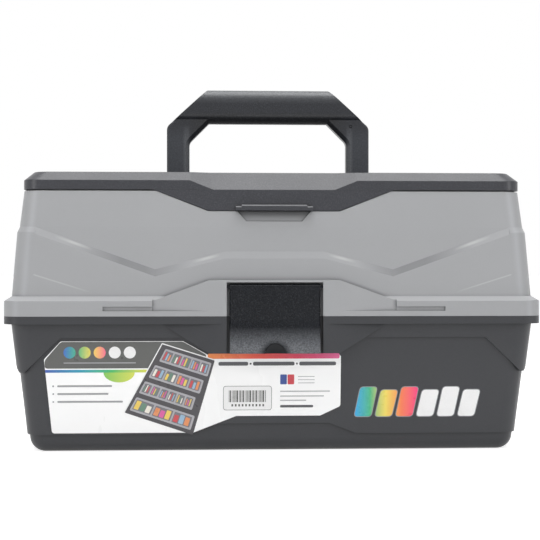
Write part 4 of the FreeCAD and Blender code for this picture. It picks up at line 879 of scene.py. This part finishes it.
def make_stripe_block(dark, white):
    """A small framed block of upright stripes and squares that stand for nothing."""
    frame_outline = bar(STRIPE_FRAME_X, STRIPE_FRAME_Z, STRIPE_FRAME_RADIUS)
    in_one_ink("label_stripe_frame", [frame_outline], dark)
    (left, right), (low, high) = STRIPE_FRAME_X, STRIPE_FRAME_Z
    inset = STRIPE_FRAME_WIDTH
    ground = bar((left + inset, right - inset), (low + inset, high - inset), STRIPE_GROUND_RADIUS)
    in_one_ink("label_stripe_ground", [ground], white, layer=2)
    stripes, turn = [], 0
    x, end = STRIPES_X
    while x < end:
        width = STRIPE_WIDTHS[turn % len(STRIPE_WIDTHS)]
        stripes.append(bar((x, x + width), STRIPES_Z))
        x += width + STRIPE_WIDTHS[(turn * 3 + 2) % len(STRIPE_WIDTHS)] * STRIPE_GAP_SHARE
        turn += 1
    starts = [SQUARES_X + SQUARE_PITCH * k for k in range(SQUARE_COUNT)]
    stripes += [bar((start, start + SQUARE_WIDTH), SQUARES_Z) for start in starts]
    in_one_ink("label_stripes", stripes, dark, layer=3)


def make_colour_fields(line):
    """Two small colour fields, and three thin lines beside them."""
    blue, red = ink("ink_blue", INK_BLUE), ink("ink_red", INK_RED)
    fields = [(bar(x_range, FIELDS_Z, FIELD_RADIUS), index)
              for index, x_range in enumerate(FIELDS_X)]
    on_label("label_colour_fields", fields, [blue, red])
    low, high = FIELD_LINES_Z
    drops = [FIELD_LINE_PITCH * k for k in range(3)]
    in_one_ink("label_field_lines",
               [bar(FIELD_LINES_X, (low - drop, high - drop)) for drop in drops], line)


def drawn_field(left, right, top, bottom, radius):
    """A rounded field of the tilted drawing, whose sides are shares of its width and height."""
    def place(across, down):
        head = DRAWING_HEAD_LEFT.lerp(DRAWING_HEAD_RIGHT, across)
        foot = DRAWING_FOOT_LEFT.lerp(DRAWING_FOOT_RIGHT, across)
        return tuple(head.lerp(foot, down))

    return rounded([place(left, top), place(left, bottom), place(right, bottom),
                    place(right, top)], radius, 3)


def drawn_cells(left, right, count):
    """The spans, from left to right, of a drawn row's cells."""
    pitch = (right - left - DRAWN_ROW_MARGIN) / count
    starts = [left + DRAWN_WALL + k * pitch for k in range(count)]
    return [(start, start + pitch - DRAWN_WALL) for start in starts]


def make_tray_drawing(white):
    """A tilted plain drawing of trays with coloured pieces in their cells."""
    inks = [ink(f"ink_drawing_{name}", colour) for name, colour in DRAWING_INKS.items()]
    trays, cells, pieces = [], [], []
    for row, (left, right, top, bottom, count) in enumerate(DRAWN_ROWS):
        trays.append(drawn_field(left, right, top, bottom, DRAWN_ROW_RADIUS))
        for k, (start, end) in enumerate(drawn_cells(left, right, count)):
            cells.append(drawn_field(start, end, top + DRAWN_WALL, bottom - DRAWN_WALL,
                                     DRAWN_CELL_RADIUS))
            pitch = (end - start - DRAWN_CELL_MARGIN) / DRAWN_PIECES
            for n in range(DRAWN_PIECES):
                low = start + DRAWN_PIECE_START + n * pitch
                head = top + DRAWN_PIECE_INSET + DRAWN_PIECE_STEP * ((row + k + n) % 3)
                piece = drawn_field(low, low + pitch - DRAWN_PIECE_GAP, head,
                                    bottom - DRAWN_PIECE_INSET, DRAWN_PIECE_RADIUS)
                pieces.append((piece, (row * 5 + k * 3 + n * 2) % len(inks)))
    in_one_ink("drawing_ground", [drawn_field(0.0, 1.0, 0.0, 1.0, DRAWING_RADIUS)],
               ink("ink_drawing_ground", DRAWING_GROUND), layer=2)
    in_one_ink("drawing_trays", trays, ink("ink_drawing_tray", DRAWING_TRAY), layer=3)
    in_one_ink("drawing_cells", cells, ink("ink_drawing_cell", DRAWING_CELL), layer=4)
    on_label("drawing_pieces", pieces, inks, layer=5)
    in_one_ink("drawing_border", drawn_border(), white, layer=6)


def drawn_border():
    """A thin line along the drawing's top and left edges."""
    lines = []
    for start, end in ((DRAWING_HEAD_LEFT, DRAWING_HEAD_RIGHT),
                       (DRAWING_FOOT_LEFT, DRAWING_HEAD_LEFT)):
        side = (end - start).orthogonal().normalized() * DRAWING_BORDER_HALF_WIDTH
        lines.append([tuple(start - side), tuple(end - side), tuple(end + side),
                      tuple(start + side)])
    return lines


def make_sticker():
    """A row of slanted colour chips, coloured on the left and white on the right."""
    chips, edges = [], []
    for k in range(CHIP_COUNT):
        left = CHIP_FIRST_X + k * CHIP_PITCH
        right = left + CHIP_WIDTH
        low = CHIP_LOW_Z
        high = CHIP_HIGH_Z - (CHIP_STAGGER if k % 2 else 0.0)
        chip = [(left, low), (right, low), (right + CHIP_LEAN, high), (left + CHIP_LEAN, high)]
        chips.append((rounded(chip, CHIP_RADIUS, 5), 0))
        wide, slim = CHIP_EDGE + CHIP_EDGE_SKEW, CHIP_EDGE - CHIP_EDGE_SKEW
        grown = [(left - wide, low - CHIP_EDGE), (right + slim, low - CHIP_EDGE),
                 (right + CHIP_LEAN + wide, high + CHIP_EDGE),
                 (left + CHIP_LEAN - slim, high + CHIP_EDGE)]
        edges.append((rounded(grown, CHIP_EDGE_RADIUS, 5), 0))
    face = STICKER_THICKNESS + PRINT_THICKNESS
    printed("sticker_edges", edges, [ink("ink_sticker_edge", CHIP_EDGE_GREY)],
            -PRINT_THICKNESS, STICKER_THICKNESS)
    printed("sticker_colour_chips", chips[:COLOURED_CHIPS],
            [rainbow_ink("ink_sticker_rainbow", *CHIP_GRADIENT)], 0.0, face)
    printed("sticker_white_chips", chips[COLOURED_CHIPS:],
            [ink("ink_sticker_white", CHIP_WHITE)], 0.0, face)


# ---- camera and studio ----
def set_camera():
    """A camera in front of the case, a little to its left, looking level at its middle."""
    data = bpy.data.cameras.new("studio_camera")
    data.sensor_width = SENSOR_WIDTH
    data.lens = SENSOR_WIDTH * FOCAL_PIXELS / IMAGE_SIZE
    data.shift_x = AIM_SHIFT
    camera = bpy.data.objects.new("studio_camera", data)
    turn = math.radians(CAMERA_TURN)
    camera.location = Vector((-CAMERA_DISTANCE * math.sin(turn),
                              -CAMERA_DISTANCE * math.cos(turn), CAMERA_HEIGHT)) * MM
    camera.rotation_euler = (math.pi / 2, 0, -turn)
    bpy.context.scene.collection.objects.link(camera)
    bpy.context.scene.camera = camera


def area_light(name, place, aim, size, power):
    data = bpy.data.lights.new(name, "AREA")
    data.shape = "RECTANGLE"
    data.size, data.size_y = size
    data.energy = power
    lamp = bpy.data.objects.new(name, data)
    lamp.location = place
    lamp.rotation_euler = (Vector(aim) - Vector(place)).to_track_quat("-Z", "Y").to_euler()
    lamp.visible_camera = False
    bpy.context.scene.collection.objects.link(lamp)


def white_to_view(g, plain, strength):
    """A plain strength for light on the object, and another where a view or a gloss sees this."""
    path = g.add("ShaderNodeLightPath").outputs
    mirrored = g.math("MAXIMUM", path["Is Glossy Ray"], path["Is Transmission Ray"])
    return g.spread(g.math("MAXIMUM", path["Is Camera Ray"], mirrored), 0.0, 1.0, plain, strength)


def set_world():
    world = bpy.data.worlds.new("studio")
    world.use_nodes = True
    bpy.context.scene.world = world
    g = Graph(world.node_tree)
    background = world.node_tree.nodes["Background"]
    background.inputs["Color"].default_value = (1, 1, 1, 1)
    g.feed(background.inputs["Strength"], white_to_view(g, WORLD_LIGHT, 1.0))


def make_floor():
    """A wide white floor that keeps the case's shadow."""
    mesh = bpy.data.meshes.new("studio_floor")
    reach = FLOOR_REACH
    mesh.from_pydata([(-reach, -reach, 0), (reach, -reach, 0), (reach, reach, 0),
                      (-reach, reach, 0)], [], [(0, 1, 2, 3)])
    floor = bpy.data.objects.new("studio_floor", mesh)
    bpy.context.scene.collection.objects.link(floor)
    g = MaterialGraph("floor_white")
    g.set({"Base Color": (FLOOR_ALBEDO, FLOOR_ALBEDO, FLOOR_ALBEDO, 1),
           "Roughness": FLOOR_ROUGHNESS, "Emission Color": (1, 1, 1, 1)})
    g.feed(g.shader.inputs["Emission Strength"], white_to_view(g, 0.0, FLOOR_GLOW))
    mesh.materials.append(g.material)


def set_studio():
    bpy.context.scene.view_settings.view_transform = "Standard"
    set_world()
    for lamp in LAMPS:
        area_light(*lamp)
    make_floor()


set_camera()
set_studio()
finishes = make_materials()
dress_nodes(finishes)
make_label_print()
make_sticker()
make_screws(finishes["steel"])
make_pin_caps(finishes["steel"])
make_thumb_hollow(finishes["thumb_hollow"])
# the mould mark takes the hollow's darker black as painted shade
make_mould_mark(finishes["thumb_hollow"])
